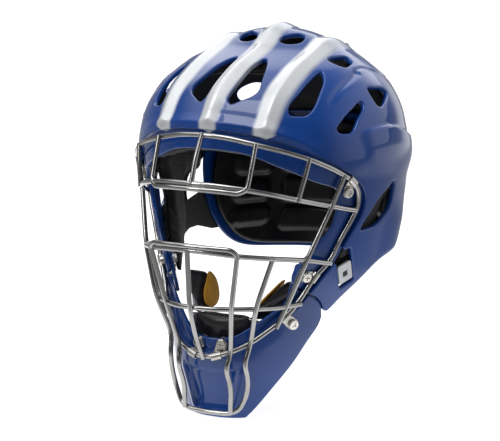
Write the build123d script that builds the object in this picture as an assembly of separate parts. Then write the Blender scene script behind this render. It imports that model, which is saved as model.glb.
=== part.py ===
from build123d import *
import math
import os

# Baseball catcher helmet (hockey-mask style), adult size, millimetres.
# Frame: +X is the wearer's left, -Y is the front (the face side), +Z is up, helmet upright as worn.
# The model is laid out about the middle of the head and moved at the end by (0, SHIFT_Y, SHIFT_Z),
# so that the finished part stands with its lowest point on Z = 0 and its box centred on the Z axis.
SHIFT_Y = 14.0
SHIFT_Z = 144.5

# ---------------------------------------------------------------- driving dimensions
SHELL_T = 4.0          # moulded shell wall
BAND_IN = 5.0          # how far the band round the face opening steps in
BAND_T = 3.6           # thickness of that band
WALL_T = 3.8           # width of the step's wall
RIB_H = 4.5            # height of the three raised ribs on the crown
RIB_W = 19.0           # width of a rib
RIB_X = 45.5           # side rib's distance from the centre plane
STRAP_IN, STRAP_OUT = 5.9, 4.5     # side strap lies between these depths under the shell's outer face
PLATE_OUT, PLATE_IN = 6.6, 10.0     # back plate wall, nested inside the shell
WIRE_R = 2.05          # cage wire radius
SCREW_HEAD_R = 4.4
SCREW_HEAD_H = 2.3
SCREW_R = 2.0
HOLE_R = 2.3
LIP_Z = -144.5         # flat land under the chin that the helmet stands on
PLATE_HINGE = (0.0, 118.0, 68.0)   # line that the back plate flexes about, at its top strap

# ---------------------------------------------------------------- outer form
# Horizontal sections of the whole helmet form: height, half width, front y, rear y, y of the widest place, exponent.
SECTIONS = [
    (-150, 44, -109.5, 30, -46, 2.3), (-125, 52, -113, 50, -32, 2.3), (-106, 60, -116.5, 70, -20, 2.3),
    (-85, 70.5, -118.5, 88, -5, 2.15), (-60, 84.5, -117.5, 107, 9, 1.95), (-30, 94.7, -121, 117, 7.3, 1.9),
    (0, 102, -124.7, 124.1, 3.5, 1.9), (30, 108.3, -126.6, 127.1, -0.8, 1.9), (60, 113, -126, 126.5, -4.0, 1.9),
    (90, 108.6, -120.3, 122.4, -5.5, 1.9), (115, 96.9, -105.3, 110, -2.2, 1.9), (135, 76.7, -70.3, 83.5, 2.0, 1.9),
    (150, 50.9, -24.1, 56, 7.1, 1.95), (163.3, 0, 7.8, 7.8, 7.8, 2.0),
]


def smooth(xs, ys):
    """Monotone cubic curve through the points."""
    n = len(xs)
    h = [xs[i + 1] - xs[i] for i in range(n - 1)]
    d = [(ys[i + 1] - ys[i]) / h[i] for i in range(n - 1)]
    m = [0.0] * n
    for i in range(1, n - 1):
        if d[i - 1] * d[i] > 0:
            w1, w2 = 2 * h[i] + h[i - 1], h[i] + 2 * h[i - 1]
            m[i] = (w1 + w2) / (w1 / d[i - 1] + w2 / d[i])
    m[0], m[-1] = d[0], d[-1]

    def f(x):
        x = min(max(x, xs[0]), xs[-1])
        i = 0
        while i < n - 2 and x > xs[i + 1]:
            i += 1
        t = (x - xs[i]) / h[i]
        return (ys[i] * (2 * t ** 3 - 3 * t * t + 1) + h[i] * m[i] * (t ** 3 - 2 * t * t + t)
                + ys[i + 1] * (-2 * t ** 3 + 3 * t * t) + h[i] * m[i + 1] * (t ** 3 - t * t))
    return f


ZS = [s[0] for s in SECTIONS]
f_side2 = smooth(ZS, [s[1] ** 2 for s in SECTIONS])
f_front2 = smooth(ZS, [(s[4] - s[2]) ** 2 for s in SECTIONS])
f_rear2 = smooth(ZS, [(s[3] - s[4]) ** 2 for s in SECTIONS])
f_mid = smooth(ZS, [s[4] for s in SECTIONS])
f_exp = smooth(ZS, [s[5] for s in SECTIONS])
TOP = ZS[-1]


def level(p):
    """1 on the outer form, less inside it, more outside."""
    x, y, z = p
    if z >= TOP - 0.01:
        return 1 + (z - TOP + 0.01) / 50
    a = max(f_side2(z), 1e-6) ** 0.5
    c, n = f_mid(z), f_exp(z)
    q = max(f_front2(z) if y < c else f_rear2(z), 1e-6) ** 0.5
    return ((abs(x) / a) ** n + (abs(y - c) / q) ** n) ** (1 / n)


def gradient(p, h=0.5):
    g = []
    for k in range(3):
        lo, hi = list(p), list(p)
        lo[k] -= h
        hi[k] += h
        g.append((level(hi) - level(lo)) / (2 * h))
    return Vector(*g)


def normal_at(p):
    return gradient(p).normalized()


def depth_move(p, off):
    """The point moved along the form's normal until it lies off mm inside the outer form."""
    q = Vector(*p)
    for _ in range(12):
        g = gradient((q.X, q.Y, q.Z))
        d = (level((q.X, q.Y, q.Z)) - 1) / g.length
        q = q - g.normalized() * (d + off)
    return q


def offset_curve(rho, off):
    """(z, radius) points of a meridian curve moved inwards by off."""
    out = []
    zs = [-150 + 5 * i for i in range(58)] + [141, 146, 150, 153, 155.5, 158, 160, 161.5, 162.5, 163.0, 163.25]
    zs = sorted(set(z for z in zs if z < TOP))
    for z in zs:
        e = 0.05
        r = rho(z)
        zl, zh = max(z - e, -150), min(z + e, TOP - 1e-4)
        dr, dz = rho(zh) - rho(zl), zh - zl
        l = math.hypot(dr, dz)
        out.append((z + off * dr / l, r - off * dz / l))
    out.append((TOP - off, 0.0))
    keep = []
    for z, r in out:
        if r < 0:
            continue
        if keep and z <= keep[-1][0] + 1e-3:
            continue
        keep.append((z, r))
    keep[-1] = (TOP - off, 0.0)
    return smooth([k[0] for k in keep], [k[1] ** 2 for k in keep])


_forms = {}


def form(off):
    """Closed solid bounded by the outer form moved inwards by off (outwards if negative)."""
    if off in _forms:
        return _forms[off]
    fs = offset_curve(lambda z: max(f_side2(z), 0) ** 0.5, off)
    ff = offset_curve(lambda z: max(f_front2(z), 0) ** 0.5, off)
    fr = offset_curve(lambda z: max(f_rear2(z), 0) ** 0.5, off)
    top = TOP - off
    levels = [z for z in (-150, -137, -125, -106, -85, -60, -30, 0, 30, 60, 90, 110, 128) if z < top - 28] + \
        [top - d for d in (21, 12.5, 6.8, 3.2, 1.2, 0.25)]
    wires = []
    m = 24
    for z in levels:
        a, f, r = max(fs(z), 0.01) ** 0.5, max(ff(z), 0.01) ** 0.5, max(fr(z), 0.01) ** 0.5
        c, n = f_mid(min(z, TOP)), f_exp(min(z, TOP))
        pts = []
        for i in range(m):
            t = 2 * math.pi * i / m
            ct, st = math.cos(t), math.sin(t)
            ct = 0.0 if abs(ct) < 1e-12 else ct
            st = 0.0 if abs(st) < 1e-12 else st
            x = a * math.copysign(abs(st) ** (2 / n), st)
            y = c - (f if ct > 0 else r) * math.copysign(abs(ct) ** (2 / n), ct)
            pts.append((x, y, z))
        wires.append(Wire([Edge.make_spline([Vector(*p) for p in pts], periodic=True, parameters=[i / m for i in range(m + 1)])]))
    s = Solid.make_loft(wires)
    _forms[off] = s
    return s


def solids(shape):
    return sorted(shape.solids(), key=lambda s: -s.volume)


def biggest(shape):
    return solids(shape)[0]


def cut(shape, *tools):
    """The shape without the tools, as one solid."""
    return biggest(shape.cut(*[s for t in tools for s in solids(t)]))


def side_face(pts, curved=True):
    """Planar face in the YZ plane from (y, z) points. Runs marked as lists are drawn as one smooth curve."""
    edges = []
    last = None
    first = None
    for run in pts:
        v = [Vector(0, y, z) for y, z in run]
        if first is None:
            first = v[0]
        if last is not None and (last - v[0]).length > 1e-6:
            edges.append(Edge.make_line(last, v[0]))
        if len(v) == 2 or not curved:
            for a, b in zip(v, v[1:]):
                edges.append(Edge.make_line(a, b))
        elif len(v) > 2:
            edges.append(Edge.make_spline(v))
        last = v[-1]
    if (last - first).length > 1e-6:
        edges.append(Edge.make_line(last, first))
    return Face(Wire(edges))


def side_prism(pts, x0=-170.0, x1=170.0, curved=True):
    f = side_face(pts, curved)
    f = f.moved(Location((x0, 0, 0)))
    return Solid.extrude(f, Vector(x1 - x0, 0, 0))


def box(x0, x1, y0, y1, z0, z1):
    return Solid.make_box(x1 - x0, y1 - y0, z1 - z0, Plane((x0, y0, z0)))


def layer(outer, inner, region):
    """The part of the wall between two depths that lies inside the region."""
    return (form(outer) & region) - form(inner)


def mirrored(s):
    return s.mirror(Plane.YZ)


def offset_run(run, d):
    """Points moved sideways by d, to the left of the direction of travel."""
    out = []
    for i, (y, z) in enumerate(run):
        a = run[max(i - 1, 0)]
        b = run[min(i + 1, len(run) - 1)]
        l = math.hypot(b[0] - a[0], b[1] - a[1])
        out.append((y - (b[1] - a[1]) / l * d, z + (b[0] - a[0]) / l * d))
    return out


# ---------------------------------------------------------------- side view curves (y, z)
# Step line: where the outer shell stops, just outside the cage's rim wire, from the brow to the jaw seam and on to the chin.
STEP_UP = [(-140, 97.5), (-119, 94.6), (-110, 90.3), (-98, 83), (-85, 74.2), (-66.5, 61.5), (-53, 51.2), (-43, 41),
           (-38.5, 29), (-41, 17), (-46.5, 6), (-52, -6), (-56.5, -17), (-62, -26), (-68.5, -36), (-72.5, -41.8)]
STEP_DOWN = [(-72.5, -41.8), (-75.5, -47.5), (-80.5, -54.5), (-88, -61.5), (-97, -71), (-107.5, -80.5), (-117, -88), (-140, -97)]
# Inner edge of the opening: the edge of the recessed band.
INNER_UP = [(-140, 81.5), (-118, 77), (-109.4, 69), (-97, 60), (-83.6, 51.2), (-72, 46.5), (-64.5, 41), (-61.5, 32),
            (-61.8, 22), (-63, 12), (-66, 6), (-72, -2.5), (-79, -12.5), (-84, -20), (-86, -29), (-84.3, -36)]
INNER_DOWN = [(-84.3, -36), (-82.6, -41), (-84.5, -47), (-90, -54.5), (-101.7, -64.2), (-109.3, -70.2), (-113, -73.6), (-140, -81)]
# Seam between the shell and the chin guard, from the inner edge to the shell's rear tip.
SEAM = [(-86.5, -35.2), (-80, -38.2), (-72.5, -41.8), (-66, -45.5), (-60.5, -50.2), (-56.2, -56), (-54, -62)]
# Lower and rear edge of the shell.
SHELL_LOW = [(-53.2, -62), (-50.5, -63.2), (-47.5, -61.2), (-41, -54), (-24, -41), (-4, -28.5), (15, -20.5), (22, -17.4), (26.5, -12),
             (28, -3), (28.2, 10), (30, 21), (36, 29), (46, 35.5), (57, 46), (72, 57.5), (92, 64.5), (150, 70)]
# Lower edge of the chin guard.
CHIN_LOW = [(-53.6, -63), (-54.2, -70), (-60, -81), (-70, -98), (-81, -114), (-90, -127), (-96, -136), (-100, -142), (-103, -147.5)]

R_MAIN = side_prism([STEP_UP, [(-72.5, -41.8), (-66, -45.5), (-60.5, -50.2), (-56.2, -56), (-54, -62)], SHELL_LOW, [(150, 70), (150, 190), (-140, 190)]])
R_STRIP = side_prism([STEP_UP, offset_run(STEP_UP, WALL_T)[::-1]])
R_BAND = side_prism([INNER_UP, [(-84.3, -36), (-80, -38.2), (-72.5, -41.8)], offset_run(STEP_UP, WALL_T)[::-1]])

shell = layer(0, SHELL_T, R_MAIN)
strip = layer(0, BAND_IN + BAND_T, R_STRIP & R_MAIN)
band = layer(BAND_IN, BAND_IN + BAND_T, R_BAND)
front_shell = biggest(shell + strip + band)

# raised ribs: three parallel ribs that start at the brow ridge and run over the crown
def crown_z(x, y):
    """Height of the outer form over (x, y)."""
    lo_z, hi_z = 60.0, TOP
    for _ in range(40):
        mid = (lo_z + hi_z) / 2
        if level((x, y, mid)) < 1:
            lo_z = mid
        else:
            hi_z = mid
    return lo_z


rib_body = form(-RIB_H)
for xc in (-RIB_X, 0.0, RIB_X):
    # each rib's top runs straight down into the shell behind the crown, so that it fades out
    a, b = (14.0, crown_z(xc, 14.0) + RIB_H + 0.6), (62.0, crown_z(xc, 62.0) - 1.6)
    c = (62.0 + (b[0] - a[0]) * 0.1, b[1] + (b[1] - a[1]) * 0.1)
    zone = side_prism([[(-135, 99.2), (-118, 96.6), (-112, 93.5), (-100, 88), (40, 100), (c[0], c[1] - 12), c, a, (a[0] - 20, a[1] + 20), (-135, 190), (-135, 99.2)]],
                      xc - RIB_W / 2, xc + RIB_W / 2, curved=False)
    rib = biggest((rib_body & zone) - form(1.0))
    front_shell = biggest(front_shell + rib)

# ---------------------------------------------------------------- vents
VENTS = {
    "brow": [(13.3, -44.0, 143.3), (9.9, -54.2, 140.5), (9.4, -66.9, 136.2), (9.5, -79.6, 130.4), (9.7, -91.9, 124.2), (10.2, -101.2, 118.1), (12.9, -104.6, 114.5), (20.6, -100.7, 116.7),
             (26.6, -95.2, 119.5), (29.7, -88.3, 123.1), (28.2, -80.3, 127.7), (24.8, -68.5, 133.7), (19.7, -53.1, 140.2)],
    "crown": [(10.8, -13.4, 155.8), (12.5, -9.2, 157.7), (16.6, -5.7, 159.1), (25.5, 0.5, 159.1), (28.9, -3.3, 157.0), (27.8, -11.5, 153.7), (22.3, -15.2, 152.9), (14.5, -16.0, 153.8)],
    "temple": [(62.1, -38.9, 134.8), (59.9, -48.9, 132.0), (59.2, -62.7, 126.3), (58.2, -78.4, 118.2), (57.3, -88.0, 110.6), (59.0, -89.6, 106.7), (64.7, -85.9, 105.3), (69.5, -81.2, 105.5),
               (71.8, -76.1, 108.4), (72.4, -67.6, 115.3), (70.7, -57.1, 122.8), (67.2, -45.0, 130.0)],
    "top": [(57.5, -18.4, 142.6), (58.9, -11.2, 143.7), (61.7, -3.9, 143.7), (65.2, 2.1, 142.4), (70.2, 1.4, 139.5), (72.4, -7.0, 137.5), (71.5, -15.6, 136.6), (67.1, -18.8, 138.3), (61.8, -19.9, 140.6)],
    "rear_top": [(91.8, -14.2, 120.3), (92.9, -4.3, 120.2), (94.1, 8.9, 118.1), (95.9, 14.6, 114.4), (98.9, 8.3, 110.7), (101.6, -2.2, 107.3), (102.2, -10.4, 105.7), (100.9, -14.2, 107.3), (97.9, -15.7, 111.9),
                 (94.7, -15.7, 116.6)],
    "side": [(94.9, -30.8, 111.3), (93.1, -41.5, 108.6), (91.5, -52.1, 103.8), (90.2, -60.3, 98.3), (89.7, -65.3, 92.9), (91.2, -64.1, 90.6), (94.3, -59.4, 89.5), (97.0, -54.0, 89.8), (97.9, -46.8, 96.2),
             (97.8, -39.1, 102.5), (96.8, -31.9, 108.0)],
    "ear": [(111.0, -0.8, 43.3), (109.8, -9.6, 39.1), (107.6, -18.3, 33.3), (104.8, -25.6, 26.0), (101.9, -31.4, 18.4), (99.3, -35.5, 12.2), (97.8, -36.6, 7.4), (99.5, -29.2, 6.5), (101.7, -19.4, 7.3),
            (104.2, -9.3, 12.2), (106.4, -1.5, 20.3), (108.2, 1.4, 29.6)],
    "rear": [(57.0, 96.5, 97), (61, 90.5, 103.5), (71, 82.5, 103.5), (80.0, 77.5, 95), (79.0, 81.5, 88.5), (68.0, 92.5, 89.5)],
}


def vent_tool(points, depth_out=16.0, depth_in=16.0):
    pts = [depth_move(p, 0.0) for p in points]
    c = Vector(sum(p.X for p in pts) / len(pts), sum(p.Y for p in pts) / len(pts), sum(p.Z for p in pts) / len(pts))
    n = normal_at((c.X, c.Y, c.Z))
    flat = [p - n * ((p - c).dot(n)) - n * depth_in for p in pts]
    f = Face(Wire([Edge.make_spline(flat, periodic=True)]))
    return Solid.extrude(f, n * (depth_in + depth_out))


for name, points in VENTS.items():
    t = vent_tool(points)
    front_shell = cut(front_shell, t, mirrored(t))

# ---------------------------------------------------------------- strap windows
WIN = [(92.1, -44.9, -4.5), (89.5, -31.1, -30.3), (81.7, -46.2, -40.6), (84.7, -56.3, -14.7)]
WIN_C = depth_move((87.2, -44.0, -23.5), 0.0)
WIN_N = normal_at((WIN_C.X, WIN_C.Y, WIN_C.Z))
wa = Vector(*WIN[0]) + Vector(*WIN[3]) - Vector(*WIN[1]) - Vector(*WIN[2])
WIN_UP = (wa - WIN_N * wa.dot(WIN_N)).normalized()      # up along the window
WIN_AC = WIN_UP.cross(WIN_N).normalized()               # across the window
if WIN_AC.Y < 0:
    WIN_AC = WIN_AC * -1


def win_plane(n_off, up_off=0.0, ac_off=0.0):
    o = WIN_C + WIN_N * n_off + WIN_UP * up_off + WIN_AC * ac_off
    return Plane(origin=o, x_dir=WIN_AC, z_dir=WIN_N)


def win_box(w, h, n0, n1, up=0.0, ac=0.0, r=1.5):
    """Rounded plate parallel to the window: w across, h along, from n0 to n1 along the outward normal."""
    pl = win_plane(n0, up, ac)
    sk = pl * RectangleRounded(w, h, r)
    s = extrude(sk, amount=n1 - n0, dir=WIN_N)
    return s.solids()[0]


WINDOW_W, WINDOW_H = 16.6, 32.0
wtool = win_box(WINDOW_W, WINDOW_H, -14, 12, r=2.6)
front_shell = cut(front_shell, wtool, mirrored(wtool))

# ---------------------------------------------------------------- chin guard
C_MAIN = side_prism([[(-72.8, -42.6), (-66.4, -46.2), (-61, -50.8), (-56.8, -56.4), (-54.6, -62)], CHIN_LOW, [(-103, -147.5), (-140, -147.5), (-140, -97)], STEP_DOWN[::-1]])
C_STRIP = side_prism([STEP_DOWN, [(p[0] + 2.4, p[1] - 3.0) for p in STEP_DOWN][::-1]])
C_BAND = side_prism([[(-83.9, -37.6)] + INNER_DOWN[1:], [(p[0] + 2.4, p[1] - 3.0) for p in STEP_DOWN][::-1], [(-70.1, -44.8), (-72.8, -42.6), (-80.3, -39.0), (-83.9, -37.6)]])
chin = layer(0, SHELL_T + 0.5, C_MAIN)
chin = chin + layer(0, BAND_IN + BAND_T, C_STRIP & C_MAIN)
chin = chin + layer(BAND_IN, BAND_IN + BAND_T, C_BAND)
# the tongues that lap behind the shell at the cheeks, held by the cheek screws
T_REG = side_prism([[(-84, -54), (-84, -20), (-66, -16), (-59, -24), (-59, -54)]], curved=False)
tongue = layer(BAND_IN + BAND_T + 0.3, BAND_IN + BAND_T + 3.1, T_REG)
T_LINK = side_prism([[(-84, -44), (-76, -41.8), (-70.5, -44.9), (-65, -48.9), (-59.5, -54), (-59, -60), (-84, -60)]], curved=False)
tlink = layer(1.5, BAND_IN + BAND_T + 3.1, T_LINK & C_MAIN)
chin = chin + tongue + tlink
# land under the chin, and rear edge rounded by the lower edge curve
chin = biggest(chin & box(-170, 170, -170, 0, LIP_Z, 60))
chin_guard = chin

# ---------------------------------------------------------------- cage wires


def wire(pts, r=WIRE_R, closed=False, k=0.45, rmax=60.0):
    """Round wire along straight runs joined by tangent arcs."""
    p = [Vector(*q) for q in pts]
    n = len(p)
    rad = []
    rng = range(n) if closed else range(1, n - 1)
    for i in rng:
        a, b, c = p[i - 1], p[i], p[(i + 1) % n]
        u, v = (b - a), (c - b)
        turn = math.radians(u.get_angle(v))
        rad.append(min(k * min(u.length, v.length) / math.tan(max(turn, 0.01) / 2), rmax))
    if closed:
        path = FilletPolyline(*[tuple(q) for q in p], radius=rad, close=True)
    else:
        path = FilletPolyline(*[tuple(q) for q in p], radius=rad)
    path = path.wire() if hasattr(path, "wire") else path
    prof = Plane(origin=path @ 0, z_dir=path % 0) * Circle(r)
    s = sweep(prof, path=path)
    return s.solids()[0]


def both_sides(half):
    """Half a symmetric wire, from the centre plane outwards, completed on the other side."""
    return [(-x, y, z) for x, y, z in half[:0:-1]] + half


RIM = [(0, -125.4, 90.9), (22, -122.6, 89.3), (43.1, -115.7, 84.6), (62.6, -104.1, 78.8), (78.8, -90.6, 71.7), (90.6, -75.1, 63),
       (98.2, -57.5, 52.4), (100.2, -47, 42), (97.6, -42.9, 27), (92.4, -48.4, 14), (86.8, -53.3, 1), (80.4, -58.5, -16.2), (71, -69, -29),
       (63.5, -76.5, -45), (57.8, -85, -56), (49.6, -94.2, -65.5), (36.4, -108.5, -77.6), (23, -118.2, -85.4), (9, -123.2, -89.6)]
rim_pts = RIM + [(0, -124.0, -90.4)] + [(-x, y, z) for x, y, z in RIM[:0:-1]]
EYE = [(0, -143.9, 54.7), (22, -141, 54.0), (41.6, -132.3, 51.3), (58, -118, 46.7), (72, -99.5, 40.4), (87.0, -70.1, 31.8), (92.7, -58.6, 28.4), (97.3, -45.5, 25.0)]
EYE_U = [(0, -145.2, 50.7), (22, -142.3, 50.0), (37.5, -135.4, 48.2), (43.2, -131.0, 51.5), (43.6, -127.3, 61), (44.0, -117.8, 85.8)]
SIDE_BAR = [(96.3, -64.3, 57.3), (88.2, -70.6, 33.0), (74.6, -88.6, -10.3), (58.4, -93.0, -50.0), (51.0, -95.8, -67.2)]
NOSE = [(0, -149.6, 1.9), (22, -147.2, 1.2), (40, -138.2, -1.6), (58.3, -116.5, -5.6), (73, -87, -10.8), (81.0, -58.3, -18.0)]
NOSE_U = [(0, -151.6, 5.9), (22, -149.2, 5.2), (35.0, -143.6, 4.2), (39.6, -140.6, 0.0), (30.2, -133.4, -45), (23.6, -122.3, -84.5), (22, -127.6, -98.2),
          (21.8, -118.3, -117), (21.0, -118.6, -137.0)]
LOWER_U = [(58.6, -115.6, -4.2), (46.0, -121.6, -45.5), (36.6, -112.8, -77.5), (34.2, -119.0, -94.0), (35.2, -114.6, -108), (33.0, -112.5, -121),
           (27.0, -114.4, -134.2), (18, -116.6, -138.0), (0, -117.6, -138.4)]
CENTRE_LOW = [(0, -151.0, 2.6), (0, -147.6, -44.8), (0, -138.5, -68), (0, -125.6, -91.6)]
MOUTH = [(0, -144.4, -45.4), (16, -141.3, -45.9), (30, -131.3, -46.8), (43.5, -119.6, -47.6), (55, -98, -49.6), (65.2, -79.8, -49.0)]
CENTRE_TOP = [(0, -125.6, 92.2), (0, -136.5, 74), (0, -144.2, 53.4)]
BROW_V = [(78.2, -91.4, 73.2), (75.6, -96.2, 56), (72.3, -100.2, 39.0)]

cage_rim = wire(rim_pts, closed=True)
cage_eye_bar = wire(both_sides(EYE))
cage_eye_loop = wire(both_sides(EYE_U), k=0.4)
cage_side_bars = [wire(SIDE_BAR)]
cage_side_bars.append(mirrored(cage_side_bars[0]))
cage_nose_bar = wire(both_sides(NOSE))
cage_nose_loop = wire(both_sides(NOSE_U), k=0.4)
cage_lower_loop = wire([(-x, y, z) for x, y, z in LOWER_U] + LOWER_U[-2::-1], k=0.42)
cage_centre_bar = wire(CENTRE_LOW)
cage_mouth_bar = wire(both_sides(MOUTH))
bv = wire(BROW_V)
cage_brow_posts = [wire(CENTRE_TOP), bv, mirrored(bv)]

# ---------------------------------------------------------------- cage screws, clips and nuts
# Each set: a point on the face that the screw enters, how deep that face lies under the outer form, the wire point its clip
# wraps, the wire's direction there, and the thickness of what it holds.
SCREWS = {
    "temple": ((93.3, -54.5, 41.3), BAND_IN, (98.5, -56.0, 51.2), (0.25, 1.0, -0.87), BAND_T),
    "cheek": ((65.5, -73.4, -27.2), BAND_IN, (71.3, -68.6, -28.5), (0.42, 0.42, 0.8), BAND_T + 3.1),
    "jaw": ((57.4, -80.5, -66.1), 0.0, (54.6, -88.6, -59.6), (0.5, 0.62, 0.62), SHELL_T + 0.5),
    "chin": ((10.6, -114.2, -81.4), BAND_IN, (10.5, -122.7, -89.3), (0.91, 0.32, 0.27), BAND_T),
}
CLIP_T = 1.2
WIRE_ROOM = [wire(rim_pts, r=WIRE_R + 0.12, closed=True), wire(SIDE_BAR, r=WIRE_R + 0.12)]
clips = {}
screws, nuts = [], []
for key, (p, depth, wpt, wdir, grip) in SCREWS.items():
    s0 = depth_move(p, depth)
    n = normal_at((s0.X, s0.Y, s0.Z))
    w = Vector(*wpt)
    td = Vector(*wdir).normalized()
    face = s0 + n * 0.35                                   # underside of the clip's tab
    reach = w - s0
    reach_flat = reach - n * reach.dot(n)
    u = reach_flat.normalized()
    pl = Plane(origin=face, x_dir=u, z_dir=n)
    # tab under the screw head
    tab = extrude(pl * (Circle(4.7) + Pos(2.6, 0) * Rectangle(5.2, 9.4)), amount=CLIP_T, dir=n).solids()[0]
    # arm from the tab to the sleeve round the wire
    e0 = face + u * 4.6 + n * (CLIP_T / 2)
    arm_v = w - e0
    al = arm_v.length
    side = n.cross(u).normalized()
    az = arm_v.normalized().cross(side).normalized()
    arm_pl = Plane(origin=e0 + arm_v * 0.5, x_dir=arm_v.normalized(), z_dir=az)
    arm = extrude(arm_pl * Rectangle(al + 1.0, 8.4), amount=CLIP_T / 2, both=True).solids()[0]
    sl_pl = Plane(origin=w - td * 4.2, z_dir=td)
    sleeve = extrude(sl_pl * Circle(WIRE_R + 1.25), amount=8.4, dir=td).solids()[0]
    core = extrude(Plane(origin=w - td * 16, z_dir=td) * Circle(WIRE_R + 0.12), amount=32, dir=td).solids()[0]
    clip = tab + arm + sleeve - core
    clip = biggest(clip.cut(*WIRE_ROOM))
    hole = extrude(Plane(origin=face - n * 20, z_dir=n) * Circle(HOLE_R), amount=60, dir=n).solids()[0]
    # clear space above the tab for the screw's head
    head_room = extrude(Plane(origin=face + n * (CLIP_T + 0.02), z_dir=n) * Circle(SCREW_HEAD_R + 0.15), amount=6, dir=n).solids()[0]
    clip = cut(clip, hole, head_room)
    clips[key] = [clip, mirrored(clip)]
    # hollow in the wall that the clip lies in
    room = extrude(Plane(origin=face - n * 0.12, x_dir=u, z_dir=n) * (Circle(5.0) + Pos(3.0, 0) * Rectangle(6.0, 10.0)), amount=CLIP_T + 4.0, dir=n).solids()[0]
    room = room + extrude(arm_pl * Rectangle(al + 1.4, 9.0), amount=CLIP_T / 2 + 0.25, both=True).solids()[0]
    room = room + extrude(Plane(origin=w - td * 4.5, z_dir=td) * Circle(WIRE_R + 1.5), amount=9.0, dir=td).solids()[0]
    # pan head with a cross recess, and its shank
    hp = Plane(origin=face + n * (CLIP_T + 0.05), x_dir=u, z_dir=n)
    head = extrude(hp * Circle(SCREW_HEAD_R), amount=SCREW_HEAD_H, dir=n).solids()[0]
    head = head.fillet(1.1, [e for e in head.edges().filter_by(GeomType.CIRCLE) if (e.arc_center - (hp.origin + n * SCREW_HEAD_H)).length < 0.5])
    shank = extrude(Plane(origin=face + n * (CLIP_T + 0.3), z_dir=-n) * Circle(SCREW_R), amount=CLIP_T + grip + 4.2, dir=-n).solids()[0]
    cross = extrude(Plane(origin=hp.origin + n * (SCREW_HEAD_H - 1.3), x_dir=u, z_dir=n) * (Rectangle(4.6, 0.95) + Rectangle(0.95, 4.6)), amount=3, dir=n).solids()[0]
    sc = biggest(head + shank - cross)
    screws += [sc, mirrored(sc)]
    # flanged nut inside the wall
    nb = s0 - n * (grip + 0.75)
    nut = extrude(Plane(origin=nb, x_dir=u, z_dir=-n) * Circle(5.2), amount=1.4, dir=-n).solids()[0]
    nut = nut + extrude(Plane(origin=nb, x_dir=u, z_dir=-n) * RegularPolygon(3.9, 6), amount=3.2, dir=-n).solids()[0]
    bore = extrude(Plane(origin=nb + n * 3, z_dir=-n) * Circle(SCREW_R + 0.05), amount=12, dir=-n).solids()[0]
    nut = biggest(nut - bore)
    nuts += [nut, mirrored(nut)]
    # holes through the shell and the chin guard
    drill = extrude(Plane(origin=s0 + n * 1.5, z_dir=-n) * Circle(HOLE_R), amount=18, dir=-n).solids()[0]
    nut_room = extrude(Plane(origin=nb + n * 0.3, z_dir=-n) * Circle(5.6), amount=9, dir=-n).solids()[0]
    if key in ("temple", "cheek"):
        front_shell = cut(front_shell, drill, mirrored(drill), room, mirrored(room))
    if key in ("cheek", "jaw", "chin"):
        chin_guard = cut(chin_guard, drill, mirrored(drill), nut_room, mirrored(nut_room))
    if key in ("jaw", "chin"):
        chin_guard = cut(chin_guard, room, mirrored(room))
    SCREWS[key] = (s0, n, nb, u)

front_shell = biggest(front_shell)
chin_guard = biggest(chin_guard)

# ---------------------------------------------------------------- back plate and what it carries
P_REG = side_prism([[(66, 78), (53, 60), (43, 40), (40, 22), (39.5, 8), (41, -5), (45, -17), (51.5, -27), (60, -33.5), (72, -37), (84, -38.2), (150, -39.5)], [(150, 79), (66, 78)]])
back_plate = layer(PLATE_OUT, PLATE_IN, P_REG)
back_plate = biggest(back_plate)
PP_REG = side_prism([[(72, 66), (60, 50), (51, 34), (48, 20), (47.5, 8), (49, -4), (53, -15), (59.5, -24), (68, -30), (80, -33.5), (92, -34.6), (150, -35.5)], [(150, 68), (72, 66)]])
plate_pad = biggest(layer(PLATE_IN + 0.3, 20.0, PP_REG))

# side straps: flat elastic, from the plate's outer face to the window in the shell
S_REG = side_prism([[(62, 15), (40, 11.5), (14, 4), (-44.5, -7.5), (-50.5, -17.5), (-36, -12.5), (-29, -34.5), (0, -24.0), (15, -18.5), (27, -18.0), (43, -23.0), (62, -23)]], curved=False)
s_all = layer(STRAP_OUT, STRAP_IN, S_REG & box(0, 170, -80, 75, -50, 30))
strap_left = biggest(s_all)
strap_right = mirrored(strap_left)

# top strap: across the flex line between the crown and the plate
T2 = box(-17, 17, 60, 150, 54, 104)
top_strap = biggest(layer(STRAP_OUT, STRAP_IN, T2))


def rivet(p, depth, length, head_r=4.2, head_h=1.1, shank_r=1.7):
    s = depth_move(p, depth)
    n = normal_at((s.X, s.Y, s.Z))
    h = extrude(Plane(origin=s + n * 0.22, z_dir=n) * Circle(head_r), amount=head_h, dir=n).solids()[0]
    h = h.fillet(0.6, [e for e in h.edges().filter_by(GeomType.CIRCLE) if (e.arc_center - (s + n * (0.22 + head_h))).length < 0.3])
    q = extrude(Plane(origin=s + n * 0.3, z_dir=-n) * Circle(shank_r), amount=length, dir=-n).solids()[0]
    room = [extrude(Plane(origin=s + n * 3, z_dir=-n) * Circle(shank_r + c), amount=length + 5, dir=-n).solids()[0] for c in (0.1, 0.35)]
    return biggest(h + q), room


plate_rivets = []
for p in ((92, 51, 5), (90, 54, -14)):
    rv, room = rivet(p, STRAP_OUT, 4.7)
    plate_rivets += [rv, mirrored(rv)]
    back_plate = cut(back_plate, room[0], mirrored(room[0]))
    strap_left = cut(strap_left, room[1])
strap_right = mirrored(strap_left)
for x in (-9.5, 9.5):
    rv, room = rivet((x, 119, 60.5), STRAP_OUT, 4.7)
    plate_rivets.append(rv)
    back_plate = cut(back_plate, room[0])
    top_strap = cut(top_strap, room[1])
shell_rivets = []
for x in (-9.5, 9.5):
    rv, room = rivet((x, 118, 97.5), 0.0, 6.4, head_r=4.6, head_h=1.3)
    shell_rivets.append(rv)
    front_shell = cut(front_shell, room[0])
    top_strap = cut(top_strap, room[1])

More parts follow.
